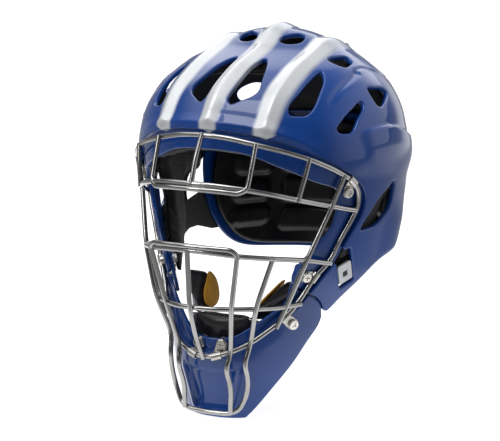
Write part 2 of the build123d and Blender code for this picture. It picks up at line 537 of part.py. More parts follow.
# ---------------------------------------------------------------- strap tab, its post plate
TAB_W, TAB_L, TAB_T = 14.2, 17.5, 1.8
TAB_UP = -5.6                                     # centre of the tab along the window
tab = win_box(TAB_W, TAB_L, -2.6, -2.6 + TAB_T, up=TAB_UP, r=1.8)
slot = win_box(5.4, 5.4, -4, 0.5, up=TAB_UP - 1.0, r=0.6)
tab = tab - slot
TAB_HINGE = WIN_C + WIN_UP * (TAB_UP + TAB_L / 2 - 1.0) + WIN_N * (-2.6 + TAB_T / 2)
tab_left = biggest(tab)
tab_right = mirrored(tab_left)
post = win_box(WINDOW_W + 7, 25.0, -8.7, -7.1, up=TAB_UP - 1.2, r=2.5)
post = post + win_box(3.8, 3.8, -7.5, -1.6, up=TAB_UP - 1.0, r=0.5)
post_left = biggest(post)
post_right = mirrored(post_left)

# ---------------------------------------------------------------- padding
forehead_pad = layer(BAND_IN + BAND_T + 0.5, 21.0, side_prism([[(-140, 84), (-116, 80.5), (-107, 73.5), (-95, 65), (-84, 58), (-62, 58), (-62, 103), (-140, 106)]], curved=False) & box(-74, 74, -150, -60, 50, 110))
forehead_pad = biggest(forehead_pad)
crown_pad_front = biggest(layer(SHELL_T + 0.5, 17.0, box(-52, 52, -46, -21, 90, 170)))
crown_pad_rear = biggest(layer(SHELL_T + 0.5, 17.0, box(-52, 52, 8, 70, 90, 170) - box(-170, 170, 50, 90, 80, 112)))
ear_pad = biggest(layer(7.6, 17.0, side_prism([[(-36.5, 52), (-20, 60), (20, 61), (36.5, 53), (40.5, 43), (38.5, 35), (33, 31), (20, 28.5), (9, 24), (4.5, 14), (3, 0), (-2, -12), (-12, -25), (-30, -38),
                                                (-46, -49), (-50, -45), (-50.5, -30), (-49, -18), (-45, -6), (-40, 6), (-36.5, 14), (-33.5, 24), (-33.8, 38), (-36.5, 52)]], curved=False) & box(0, 170, -60, 60, -60, 80)))
ear_pad = cut(ear_pad, win_box(WINDOW_W + 8.5, 27.0, -12, -4, up=TAB_UP - 1.2, r=2.5))
ear_pad_left, ear_pad_right = ear_pad, mirrored(ear_pad)
# jaw pads: upright foam lobes beside the chin, each with a coloured comfort face
jaw_zone = side_prism([[(-46.5, -50), (-46.5, -40), (-48.5, -36.5), (-52, -35.8), (-60, -39.5), (-69, -45), (-80, -51.5), (-88, -57), (-92, -61.5), (-92, -66.5), (-66, -66.5), (-54, -60.5), (-46.5, -50)]], curved=False)
face_zone = side_prism([[(-47, -50), (-47, -40), (-49, -37.3), (-52, -37), (-60, -41), (-69, -46.5), (-78, -52.5), (-80, -58), (-76, -63), (-68, -65.5), (-55, -60), (-47, -50)]], curved=False)


def slanted(x_top, z_top, x_low, z_low, wide, y0=-100.0, y1=-40.0):
    """Prism along Y whose inner side leans from (x_top, z_top) down to (x_low, z_low)."""
    v = [Vector(x_top, y0, z_top), Vector(x_top + wide, y0, z_top), Vector(x_low + wide, y0, z_low), Vector(x_low, y0, z_low)]
    f = Face(Wire([Edge.make_line(v[i], v[(i + 1) % 4]) for i in range(4)]))
    return Solid.extrude(f, Vector(0, y1 - y0, 0))


jaw_pad = biggest(form(13.0) & (jaw_zone & slanted(38.7, -34, 19.5, -68, 60)) & box(0, 60, -100, -40, -70, -20))
jaw_face = biggest(form(13.0) & (face_zone & slanted(34.85, -34, 15.65, -68, 3.4)))
chin_pad_zone = side_prism([[(-120, -74), (-108, -66), (-96, -59.5), (-72, -59.0), (-66, -66), (-70, -84), (-86, -96), (-120, -98)]], curved=False)
chin_pad = layer(13.2, 27.0, chin_pad_zone & box(-54, 54, -130, -60, -110, -40))
jaw_room = slanted(34.4, -33, 15.2, -67.3, 80, -92.7, -40.0)
chin_pad = cut(biggest(chin_pad), jaw_room, mirrored(jaw_room))
for key in ("temple", "cheek", "jaw", "chin"):
    s0, n, nb, u = SCREWS[key]
    pocket = extrude(Plane(origin=nb + n * 2, z_dir=-n) * Circle(6.4), amount=11.5, dir=-n).solids()[0]
    chin_pad = cut(chin_pad, pocket, mirrored(pocket))
    forehead_pad = cut(forehead_pad, pocket, mirrored(pocket))
    if key in ("jaw", "cheek"):
        jaw_pad = cut(jaw_pad, pocket, mirrored(pocket))

# ---------------------------------------------------------------- write every node
NODES = {
    "front_shell": [front_shell],
    "chin_guard": [chin_guard],
    "cage_rim": [cage_rim],
    "cage_eye_bar": [cage_eye_bar],
    "cage_eye_loop": [cage_eye_loop],
    "cage_brow_posts": cage_brow_posts,
    "cage_side_bars": cage_side_bars,
    "cage_nose_bar": [cage_nose_bar],
    "cage_nose_loop": [cage_nose_loop],
    "cage_lower_loop": [cage_lower_loop],
    "cage_centre_bar": [cage_centre_bar],
    "cage_mouth_bar": [cage_mouth_bar],
    "temple_clips": clips["temple"],
    "cheek_clips": clips["cheek"],
    "jaw_clips": clips["jaw"],
    "chin_clips": clips["chin"],
    "cage_screws": screws,
    "cage_nuts": nuts,
    "forehead_pad": [forehead_pad],
    "crown_pad_front": [crown_pad_front],
    "crown_pad_rear": [crown_pad_rear],
    "ear_pad_left": [ear_pad_left],
    "ear_pad_right": [ear_pad_right],
    "jaw_pad_left": [jaw_pad],
    "jaw_pad_right": [mirrored(jaw_pad)],
    "jaw_face_left": [jaw_face],
    "jaw_face_right": [mirrored(jaw_face)],
    "chin_pad": [chin_pad],
    "strap_post_left": [post_left],
    "strap_post_right": [post_right],
    "shell_rivets": shell_rivets,
    "back_plate": [back_plate],
    "plate_pad": [plate_pad],
    "plate_rivets": plate_rivets,
    "side_strap_left": [strap_left],
    "side_strap_right": [strap_right],
    "top_strap": [top_strap],
    "strap_tab_left": [tab_left],
    "strap_tab_right": [tab_right],
}

os.makedirs("parts", exist_ok=True)
move = Location((0, SHIFT_Y, SHIFT_Z))
lo, hi = [1e9] * 3, [-1e9] * 3
for node, parts in NODES.items():
    placed = [p.moved(move) for p in parts]
    shape = placed[0] if len(placed) == 1 else Compound(children=placed)
    shape.label = node
    export_step(shape, f"parts/{node}.step")
    bb = shape.bounding_box()
    for k, (a, b) in enumerate(((bb.min.X, bb.max.X), (bb.min.Y, bb.max.Y), (bb.min.Z, bb.max.Z))):
        lo[k], hi[k] = min(lo[k], a), max(hi[k], b)
print("box", [round(v, 2) for v in lo], [round(v, 2) for v in hi])
h = TAB_HINGE + Vector(0, SHIFT_Y, SHIFT_Z)
print("tab hinge", round(h.X, 3), round(h.Y, 3), round(h.Z, 3), "axis", [round(v, 5) for v in WIN_AC], "normal", [round(v, 5) for v in WIN_N], "up", [round(v, 5) for v in WIN_UP])
print("plate hinge", PLATE_HINGE[0], PLATE_HINGE[1] + SHIFT_Y, PLATE_HINGE[2] + SHIFT_Z)
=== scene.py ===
import math

import bmesh
import bpy
import numpy as np
from mathutils import Matrix, Vector


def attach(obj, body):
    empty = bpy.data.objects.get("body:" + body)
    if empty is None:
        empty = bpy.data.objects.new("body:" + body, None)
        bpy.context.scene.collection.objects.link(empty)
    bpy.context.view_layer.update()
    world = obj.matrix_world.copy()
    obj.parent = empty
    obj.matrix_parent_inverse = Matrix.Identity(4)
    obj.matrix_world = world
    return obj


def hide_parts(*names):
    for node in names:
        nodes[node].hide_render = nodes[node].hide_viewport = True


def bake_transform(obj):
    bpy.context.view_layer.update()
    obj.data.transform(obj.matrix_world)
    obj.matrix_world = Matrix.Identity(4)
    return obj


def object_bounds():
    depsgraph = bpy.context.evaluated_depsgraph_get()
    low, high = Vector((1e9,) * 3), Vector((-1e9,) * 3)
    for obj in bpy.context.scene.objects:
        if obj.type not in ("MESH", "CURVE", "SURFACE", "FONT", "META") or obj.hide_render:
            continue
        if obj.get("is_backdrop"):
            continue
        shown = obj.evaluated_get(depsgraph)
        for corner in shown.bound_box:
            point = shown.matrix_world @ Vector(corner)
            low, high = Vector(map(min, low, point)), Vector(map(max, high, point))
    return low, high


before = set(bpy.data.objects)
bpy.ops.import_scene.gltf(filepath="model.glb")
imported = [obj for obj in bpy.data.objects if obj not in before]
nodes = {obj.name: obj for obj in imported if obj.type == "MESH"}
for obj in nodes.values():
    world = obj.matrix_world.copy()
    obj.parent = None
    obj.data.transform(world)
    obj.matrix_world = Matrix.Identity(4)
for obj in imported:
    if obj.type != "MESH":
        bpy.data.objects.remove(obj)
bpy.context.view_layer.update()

# The catcher helmet is laid out in millimetres about the middle of the head, like its CAD source:
# +X the wearer's left, -Y the face side, +Z up. ROW moves a point from there to the row frame.
SHIFT_Y, SHIFT_Z = 14.0, 144.5


def row(p):
    p = np.asarray(p, float)
    return (p + np.array([0.0, SHIFT_Y, SHIFT_Z])) / 1000.0


# ------------------------------------------------------------------ outer form
SECTIONS = [
    (-150, 44, -109.5, 30, -46, 2.3), (-125, 52, -113, 50, -32, 2.3), (-106, 60, -116.5, 70, -20, 2.3),
    (-85, 70.5, -118.5, 88, -5, 2.15), (-60, 84.5, -117.5, 107, 9, 1.95), (-30, 94.7, -121, 117, 7.3, 1.9),
    (0, 102, -124.7, 124.1, 3.5, 1.9), (30, 108.3, -126.6, 127.1, -0.8, 1.9), (60, 113, -126, 126.5, -4.0, 1.9),
    (90, 108.6, -120.3, 122.4, -5.5, 1.9), (115, 96.9, -105.3, 110, -2.2, 1.9), (135, 76.7, -70.3, 83.5, 2.0, 1.9),
    (150, 50.9, -24.1, 56, 7.1, 1.95), (163.3, 0, 7.8, 7.8, 7.8, 2.0),
]
ZS = np.array([s[0] for s in SECTIONS], float)
TOP = ZS[-1]


def smooth_table(ys):
    """Monotone cubic through the section heights, as a function of arrays."""
    ys = np.array(ys, float)
    h = np.diff(ZS)
    d = np.diff(ys) / h
    m = np.zeros(len(ys))
    for i in range(1, len(ys) - 1):
        if d[i - 1] * d[i] > 0:
            w1, w2 = 2 * h[i] + h[i - 1], h[i] + 2 * h[i - 1]
            m[i] = (w1 + w2) / (w1 / d[i - 1] + w2 / d[i])
    m[0], m[-1] = d[0], d[-1]

    def f(z):
        z = np.clip(z, ZS[0], ZS[-1])
        i = np.clip(np.searchsorted(ZS, z, side="right") - 1, 0, len(h) - 1)
        t = (z - ZS[i]) / h[i]
        return (ys[i] * (2 * t ** 3 - 3 * t * t + 1) + h[i] * m[i] * (t ** 3 - 2 * t * t + t)
                + ys[i + 1] * (-2 * t ** 3 + 3 * t * t) + h[i] * m[i + 1] * (t ** 3 - t * t))
    return f


f_side2 = smooth_table([s[1] ** 2 for s in SECTIONS])
f_front2 = smooth_table([(s[4] - s[2]) ** 2 for s in SECTIONS])
f_rear2 = smooth_table([(s[3] - s[4]) ** 2 for s in SECTIONS])
f_mid = smooth_table([s[4] for s in SECTIONS])
f_exp = smooth_table([s[5] for s in SECTIONS])


def level(p):
    """1 on the outer form, less inside it. p is an array of points."""
    x, y, z = p[..., 0], p[..., 1], p[..., 2]
    zc = np.minimum(z, TOP - 0.01)
    a = np.sqrt(np.maximum(f_side2(zc), 1e-6))
    c, n = f_mid(zc), f_exp(zc)
    q = np.sqrt(np.maximum(np.where(y < c, f_front2(zc), f_rear2(zc)), 1e-6))
    g = ((np.abs(x) / a) ** n + (np.abs(y - c) / q) ** n) ** (1 / n)
    return np.where(z >= TOP - 0.01, 1 + (z - TOP + 0.01) / 50, g)


def gradient(p, h=0.5):
    g = []
    for k in range(3):
        e = np.zeros(3)
        e[k] = h
        g.append((level(p + e) - level(p - e)) / (2 * h))
    return np.stack(g, -1)


def unit(v):
    return v / np.maximum(np.linalg.norm(v, axis=-1, keepdims=True), 1e-12)


def depth_move(p, off=0.0):
    """Points moved along the form's normal until they lie off mm inside the outer form."""
    q = np.array(p, float)
    for _ in range(14):
        g = gradient(q)
        gl = np.linalg.norm(g, axis=-1, keepdims=True)
        d = (level(q)[..., None] - 1) / gl
        q = q - g / gl * (d + off)
    return q


def form_grid(step, z_low=-150.0):
    """Rows of points on the outer form, from z_low to the top: (P, N), each rows x columns x 3. Column 0 is the front centre line."""
    zf = np.concatenate([np.linspace(z_low, 140, 800)[:-1], TOP - (TOP - 140) * np.linspace(1, 0, 600) ** 2])
    zf[-1] = TOP - 1e-4
    ln = 0
    for f in (lambda z: np.sqrt(np.maximum(f_side2(z), 0)), lambda z: f_mid(z) - np.sqrt(np.maximum(f_front2(z), 0)),
              lambda z: f_mid(z) + np.sqrt(np.maximum(f_rear2(z), 0))):
        r = f(zf)
        s = np.concatenate([[0], np.cumsum(np.hypot(np.diff(r), np.diff(zf)))])
        ln = ln + s
    ln = ln / 3
    rows = int(ln[-1] / step) + 1
    z = np.interp(np.linspace(0, ln[-1], rows), ln, zf)
    nq = int(round(740 / step / 4))
    t = np.linspace(0, math.pi, 1201)
    frac_f, frac_r = np.linspace(0, 1, nq + 1), np.linspace(0, 1, nq + 1)
    P = np.zeros((rows, 4 * nq, 3))
    a, L, R = np.sqrt(np.maximum(f_side2(z), 1e-9)), np.sqrt(np.maximum(f_front2(z), 1e-9)), np.sqrt(np.maximum(f_rear2(z), 1e-9))
    c, n = f_mid(z), f_exp(z)
    for i in range(rows):
        st, ct = np.sin(t), np.cos(t)
        st[-1] = 0
        x = a[i] * np.abs(st) ** (2 / n[i])
        y = c[i] - np.where(ct > 0, L[i], R[i]) * np.sign(ct) * np.abs(ct) ** (2 / n[i])
        s = np.concatenate([[0], np.cumsum(np.hypot(np.diff(x), np.diff(y)))])
        k = 600
        ss = np.concatenate([frac_f * s[k], s[k] + frac_r[1:] * (s[-1] - s[k])])
        X, Y = np.interp(ss, s, x), np.interp(ss, s, y)
        P[i, :2 * nq + 1, 0], P[i, :2 * nq + 1, 1] = X, Y
        P[i, 2 * nq + 1:, 0], P[i, 2 * nq + 1:, 1] = -X[2 * nq - 1:0:-1], Y[2 * nq - 1:0:-1]
        P[i, :, 2] = z[i]
    du = np.gradient(P, axis=0)
    dv = (np.roll(P, -1, 1) - np.roll(P, 1, 1)) / 2
    N = unit(np.cross(dv, du))
    N[-2:] = unit(N[-3:-2] * 0.3 + np.array([0, 0, 0.7]))
    return P, N


# ------------------------------------------------------------------ plane curves
def spline(pts, closed=False, per=10):
    """Points of a smooth curve through pts, chord-length cubic."""
    p = np.array(pts, float)
    if closed:
        p = np.vstack([p, p[:1]])
    n = len(p)
    if n < 3:
        return p
    d = np.linalg.norm(np.diff(p, axis=0), axis=1)
    d = np.maximum(d, 1e-6)
    t = np.concatenate([[0], np.cumsum(d)])
    A = np.zeros((n, n))
    B = np.zeros((n, p.shape[1]))
    for i in range(1, n - 1):
        A[i, i - 1], A[i, i], A[i, i + 1] = 1 / d[i - 1], 2 * (1 / d[i - 1] + 1 / d[i]), 1 / d[i]
        B[i] = 3 * ((p[i] - p[i - 1]) / d[i - 1] ** 2 + (p[i + 1] - p[i]) / d[i] ** 2)
    if closed:
        A[0, 0], A[0, 1], A[0, n - 2] = 2 * (1 / d[0] + 1 / d[-1]), 1 / d[0], 1 / d[-1]
        B[0] = 3 * ((p[1] - p[0]) / d[0] ** 2 + (p[0] - p[n - 2]) / d[-1] ** 2)
        A[n - 1, n - 1], A[n - 1, 0] = 1, -1
    else:
        A[0, 0], A[0, 1] = 2 / d[0], 1 / d[0]
        B[0] = 3 * (p[1] - p[0]) / d[0] ** 2
        A[-1, -1], A[-1, -2] = 2 / d[-1], 1 / d[-1]
        B[-1] = 3 * (p[-1] - p[-2]) / d[-1] ** 2
    m = np.linalg.solve(A, B)
    out = []
    for i in range(n - 1):
        s = np.linspace(0, 1, per, endpoint=False)[:, None]
        out.append(p[i] * (2 * s ** 3 - 3 * s * s + 1) + d[i] * m[i] * (s ** 3 - 2 * s * s + s)
                   + p[i + 1] * (-2 * s ** 3 + 3 * s * s) + d[i] * m[i + 1] * (s ** 3 - s * s))
    if not closed:
        out.append(p[-1:])
    return np.vstack(out)


def runs(*rs, per=8):
    """One closed outline from runs of points: two points are a line, more are a smooth curve, and a leading None keeps corners."""
    out = []
    for r in rs:
        if r[0] is None:
            out.append(np.array(r[1:], float))
        else:
            out.append(spline(r, per=per))
    q = np.vstack(out)
    keep = np.concatenate([[True], np.linalg.norm(np.diff(q, axis=0), axis=1) > 1e-6])
    return q[keep]


def inside_distance(q, poly):
    """Signed distance from points q (.., 2) to a closed outline, positive inside."""
    shape = q.shape[:-1]
    q = q.reshape(-1, 2)
    out = np.full(len(q), 1e9)
    odd = np.zeros(len(q), bool)
    a, b = poly, np.roll(poly, -1, 0)
    for (ay, az), (by, bz) in zip(a, b):
        ey, ez = by - ay, bz - az
        l2 = ey * ey + ez * ez
        if l2 < 1e-12:
            continue
        t = np.clip(((q[:, 0] - ay) * ey + (q[:, 1] - az) * ez) / l2, 0, 1)
        d = (q[:, 0] - ay - t * ey) ** 2 + (q[:, 1] - az - t * ez) ** 2
        np.minimum(out, d, out=out)
        cross = (az > q[:, 1]) != (bz > q[:, 1])
        if cross.any():
            x = ay + (q[:, 1] - az) / (bz - az if bz != az else 1e-9) * ey
            odd ^= cross & (q[:, 0] < x)
    out = np.sqrt(out)
    return np.where(odd, out, -out).reshape(shape)


def line_distance(q, line):
    """(distance to an open line of points, share of the way along it of the nearest point)."""
    shape = q.shape[:-1]
    q = q.reshape(-1, q.shape[-1])
    best = np.full(len(q), 1e9)
    along = np.zeros(len(q))
    seg = np.linalg.norm(np.diff(line, axis=0), axis=1)
    s0 = np.concatenate([[0], np.cumsum(seg)])
    for k in range(len(line) - 1):
        a, e = line[k], line[k + 1] - line[k]
        l2 = max(e @ e, 1e-12)
        t = np.clip(((q - a) @ e) / l2, 0, 1)
        d = np.linalg.norm(q - a - t[:, None] * e, axis=1)
        m = d < best
        best = np.where(m, d, best)
        along = np.where(m, (s0[k] + t * seg[k]) / s0[-1], along)
    return best.reshape(shape), along.reshape(shape)


def smoothstep(x, lo, hi):
    t = np.clip((x - lo) / (hi - lo), 0, 1)
    return t * t * (3 - 2 * t)


# ------------------------------------------------------------------ walls cut from the form
class Wall:
    """A moulded wall between two depths under the form, kept where every field is positive. Each field is (values on the grid, rim radius)."""

    def __init__(self, grid, fields, t_out, t_in, raised=None, rows_window=None, inner_raised=None):
        self.P, self.N = grid
        self.t_out, self.t_in = t_out, t_in
        self.h = raised if raised is not None else np.zeros(self.P.shape[:2])
        self.hi = inner_raised if inner_raised is not None else np.zeros(self.P.shape[:2])
        vals = np.stack([f - r for f, r in fields])
        self.rad = np.array([r for _, r in fields])
        self.which = vals.argmin(0)
        self.f = vals.min(0)

    def sample(self, g, u, v):
        R, C = self.P.shape[:2]
        u = np.clip(u, 0, R - 1.001)
        i = np.floor(u).astype(int)
        j = np.floor(v).astype(int)
        a, b = u - i, v - j
        j0, j1 = j % C, (j + 1) % C
        if g.ndim == 3:
            a, b = a[..., None], b[..., None]
        return (g[i, j0] * (1 - a) * (1 - b) + g[i + 1, j0] * a * (1 - b) + g[i, j1] * (1 - a) * b + g[i + 1, j1] * a * b)

    def build(self, relax=6):
        R, C = self.P.shape[:2]
        f = self.f.copy()
        # where each grid point goes, in grid steps: onto the edge if an edge of the outline crosses close by
        U, V = np.meshgrid(np.arange(R, dtype=float), np.arange(C, dtype=float), indexing="ij")
        best = np.full(f.shape, 9.0)
        du, dv = np.zeros(f.shape), np.zeros(f.shape)
        for di, dj in ((1, 0), (0, 1), (1, 1), (1, -1), (-1, 0), (0, -1), (-1, -1), (-1, 1)):
            g = np.roll(np.roll(f, -di, 0), -dj, 1)
            ok = (f * g < 0)
            if di == 1:
                ok[-1] = False
            if di == -1:
                ok[0] = False
            with np.errstate(divide="ignore", invalid="ignore"):
                t = f / (f - g)
            ln = math.hypot(di, dj)
            near = ok & (t <= 0.5 + 1e-9) & (t * ln < best)
            best = np.where(near, t * ln, best)
            du = np.where(near, t * di, du)
            dv = np.where(near, t * dj, dv)
        snapped = best < 9
        sign = np.where(snapped, 0, np.sign(f))
        U, V = U + du, V + dv
        k = sign
        kn = np.roll(k, -1, 1)
        q_ok = (k[:-1] >= 0) & (k[1:] >= 0) & (kn[:-1] >= 0) & (kn[1:] >= 0)
        fm = f[:-1] + f[1:] + np.roll(f, -1, 1)[:-1] + np.roll(f, -1, 1)[1:]
        pos = (k[:-1] > 0) | (k[1:] > 0) | (kn[:-1] > 0) | (kn[1:] > 0)
        q_ok &= pos | (fm > 0)
        ii, jj = np.nonzero(q_ok)
        idx = lambda i, j: i * C + (j % C)
        quads = np.stack([idx(ii, jj), idx(ii, jj + 1), idx(ii + 1, jj + 1), idx(ii + 1, jj)], 1)
        # the two halves of the top row lie on each other and share their points
        col = quads - (R - 1) * C
        quads = np.where(col > C // 2, (R - 1) * C + C - col, quads)
        # quads joined only at a corner are dropped until every rim is a simple loop
        for _ in range(12):
            e = np.concatenate([quads[:, [0, 1]], quads[:, [1, 2]], quads[:, [2, 3]], quads[:, [3, 0]]])
            key = e[:, 0].astype(np.int64) * (R * C) + e[:, 1]
            rev = e[:, 1].astype(np.int64) * (R * C) + e[:, 0]
            bd = ~np.isin(key, rev)
            starts = e[bd, 0]
            uq, cnt = np.unique(starts, return_counts=True)
            bad = uq[cnt > 1]
            if not len(bad):
                break
            # drop the quads at a bad corner that have the least of the kept field
            fq = f.ravel()[quads].mean(1)
            touch = np.isin(quads, bad).any(1)
            drop = np.zeros(len(quads), bool)
            for b in bad:
                rows_ = np.nonzero((quads == b).any(1))[0]
                drop[rows_[fq[rows_].argmin()]] = True
            quads = quads[~drop]
        used = np.unique(quads)
        new = np.full(R * C, -1)
        new[used] = np.arange(len(used))
        quads = new[quads]
        u, v = U.ravel()[used], V.ravel()[used]
        e = np.concatenate([quads[:, [0, 1]], quads[:, [1, 2]], quads[:, [2, 3]], quads[:, [3, 0]]])
        key = e[:, 0].astype(np.int64) * len(u) + e[:, 1]
        rev = e[:, 1].astype(np.int64) * len(u) + e[:, 0]
        bd = e[~np.isin(key, rev)]
        nxt = np.full(len(u), -1)
        nxt[bd[:, 0]] = bd[:, 1]
        prv = np.full(len(u), -1)
        prv[bd[:, 1]] = bd[:, 0]
        rim = np.nonzero(nxt >= 0)[0]
        is_rim = np.zeros(len(u), bool)
        is_rim[rim] = True
        # neighbours for relaxing
        und = np.concatenate([e, e[:, ::-1]])
        deg = np.bincount(und[:, 0], minlength=len(u)).astype(float)
        band = is_rim.copy()
        for _ in range(3):
            m = band[und[:, 1]]
            band |= np.bincount(und[m, 0], minlength=len(u)) > 0
        free = band & ~is_rim
        us = self.scale_u()

        def near_v(a, ref):
            return ref + (a - ref + C / 2) % C - C / 2

        on_low = (u < 0.01)
        for _ in range(relax):
            # rim points slide to even spacing, and back onto the outline
            uu = 0.5 * u[rim] + 0.25 * (u[nxt[rim]] + u[prv[rim]])
            vv = 0.5 * v[rim] + 0.25 * (near_v(v[nxt[rim]], v[rim]) + near_v(v[prv[rim]], v[rim]))
            for _ in range(3):
                fv = self.sample(self.f, uu, vv)
                gu = (self.sample(self.f, uu + 0.35, vv) - self.sample(self.f, uu - 0.35, vv)) / 0.7
                gv = (self.sample(self.f, uu, vv + 0.35) - self.sample(self.f, uu, vv - 0.35)) / 0.7
                g2 = np.maximum(gu * gu + gv * gv, 1e-6)
                step = np.clip(fv / g2, -1.5, 1.5)
                uu, vv = uu - step * gu, vv - step * gv
            hold = on_low[rim]
            u[rim] = np.where(hold, u[rim], uu)
            v[rim] = np.where(hold, v[rim], vv)
            su = np.bincount(und[:, 0], weights=u[und[:, 1]], minlength=len(u))
            sv = np.bincount(und[:, 0], weights=near_v(v[und[:, 1]], v[und[:, 0]]), minlength=len(u))
            mu, mv = su / np.maximum(deg, 1), sv / np.maximum(deg, 1)
            u = np.where(free, 0.5 * u + 0.5 * mu, u)
            v = np.where(free, 0.5 * v + 0.5 * mv, v)
        self.u, self.v, self.quads, self.rim, self.nxt, self.prv = u, v, quads, rim, nxt, prv
        return self

    def scale_u(self):
        return 1.0

    def mesh(self, k=4, k_in=3, r_in=0.8):
        """(points, quads, inner flag per point)."""
        u, v = self.u, self.v
        P, N = self.sample(self.P, u, v), unit(self.sample(self.N, u, v))
        h, hi = self.sample(self.h, u, v), self.sample(self.hi, u, v)
        out = P + N * (h - self.t_out)[:, None]
        inn = P - N * (self.t_in - hi)[:, None]
        n = len(u)
        rim, nxt, prv = self.rim, self.nxt, self.prv
        # outward direction in the surface, square to the outline
        tan = unit(out[nxt[rim]] - out[prv[rim]])
        Nn = N[rim]
        tan = unit(tan - Nn * (tan * Nn).sum(1, keepdims=True))
        con = np.cross(tan, Nn)
        order = np.full(n, -1)
        order[rim] = np.arange(len(rim))
        for _ in range(2):
            con = unit(con * 0.5 + 0.25 * (con[order[nxt[rim]]] + con[order[prv[rim]]]))
        wh = self.sample_near(self.which, u[rim], v[rim])
        r = self.rad[wh]
        thick = (self.t_in - hi - self.t_out + h)[rim]
        r = np.minimum(r, thick * 0.55)
        rows = [rim]
        pts = [out, inn]
        total = 2 * n
        nr = len(rim)
        inner_flag = [np.zeros(n, bool), np.ones(n, bool)]
        for a in np.linspace(0, math.pi / 2, k + 1)[1:]:
            q = out[rim] + con * (r * math.sin(a))[:, None] - Nn * (r * (1 - math.cos(a)))[:, None]
            pts.append(q)
            rows.append(total + np.arange(nr))
            inner_flag.append(np.zeros(nr, bool))
            total += nr
        ri = np.minimum(r_in, thick * 0.3)
        base = inn[rim] + con * r[:, None]
        for a in np.linspace(math.pi / 2, 0, k_in + 1)[:-1]:
            q = inn[rim] + con * (r - ri + ri * math.sin(a))[:, None] + Nn * (ri * (1 - math.cos(a)))[:, None]
            pts.append(q)
            rows.append(total + np.arange(nr))
            inner_flag.append(np.zeros(nr, bool))
            total += nr
        rows.append(rim + n)
        quads = [self.quads, self.quads[:, ::-1] + n]
        j = np.arange(nr)
        jn = order[nxt[rim]]
        for a, b in zip(rows[:-1], rows[1:]):
            quads.append(np.stack([a[jn], a[j], b[j], b[jn]], 1))
        return np.vstack(pts), np.vstack(quads), np.concatenate(inner_flag)

    def sample_near(self, g, u, v):
        R, C = g.shape
        i = np.clip(np.round(u).astype(int), 0, R - 1)
        return g[i, np.round(v).astype(int) % C]


def new_mesh(name, pts, faces, smooth=True):
    """A mesh object from head-frame points in millimetres and quads (a quad whose last two corners are the same is a triangle)."""
    me = bpy.data.meshes.new(name)
    pts = row(pts)
    faces = np.asarray(faces)
    me.vertices.add(len(pts))
    me.vertices.foreach_set("co", pts.astype(np.float32).ravel())
    me.loops.add(faces.size)
    me.loops.foreach_set("vertex_index", faces.astype(np.int32).ravel())
    me.polygons.add(len(faces))
    me.polygons.foreach_set("loop_start", np.arange(0, faces.size, faces.shape[1], dtype=np.int32))
    me.update(calc_edges=True)
    me.validate()
    if smooth:
        me.shade_smooth()
    ob = bpy.data.objects.new(name, me)
    bpy.context.scene.collection.objects.link(ob)
    return ob


# ------------------------------------------------------------------ side view curves (y, z), as in the CAD source
STEP_UP = [(-140, 97.5), (-119, 94.6), (-110, 90.3), (-98, 83), (-85, 74.2), (-66.5, 61.5), (-53, 51.2), (-43, 41),
           (-38.5, 29), (-41, 17), (-46.5, 6), (-52, -6), (-56.5, -17), (-62, -26), (-68.5, -36), (-72.5, -41.8)]
STEP_DOWN = [(-72.5, -41.8), (-75.5, -47.5), (-80.5, -54.5), (-88, -61.5), (-97, -71), (-107.5, -80.5), (-117, -88), (-140, -97)]
INNER_UP = [(-140, 81.5), (-118, 77), (-109.4, 69), (-97, 60), (-83.6, 51.2), (-72, 46.5), (-64.5, 41), (-61.5, 32),
            (-61.8, 22), (-63, 12), (-66, 6), (-72, -2.5), (-79, -12.5), (-84, -20), (-86, -29), (-84.3, -36)]
INNER_DOWN = [(-84.3, -36), (-82.6, -41), (-84.5, -47), (-90, -54.5), (-101.7, -64.2), (-109.3, -70.2), (-113, -73.6), (-140, -81)]
SEAM = [(-72.5, -41.8), (-66, -45.5), (-60.5, -50.2), (-56.2, -56), (-54, -62)]
SHELL_LOW = [(-53.4, -59.4), (-50.8, -60.6), (-47.6, -58.8), (-41, -52.4), (-24, -40.2), (-4, -28.2), (15, -20.5), (22, -17.4), (26.5, -12),
             (28, -3), (28.2, 10), (30, 21), (36, 29), (46, 35.5), (57, 46), (72, 57.5), (92, 64.5), (150, 70)]
CHIN_LOW = [(-53.6, -63), (-54.2, -70), (-60, -81), (-70, -98), (-81, -114), (-90, -127), (-96, -136), (-100, -142), (-103, -147.5)]
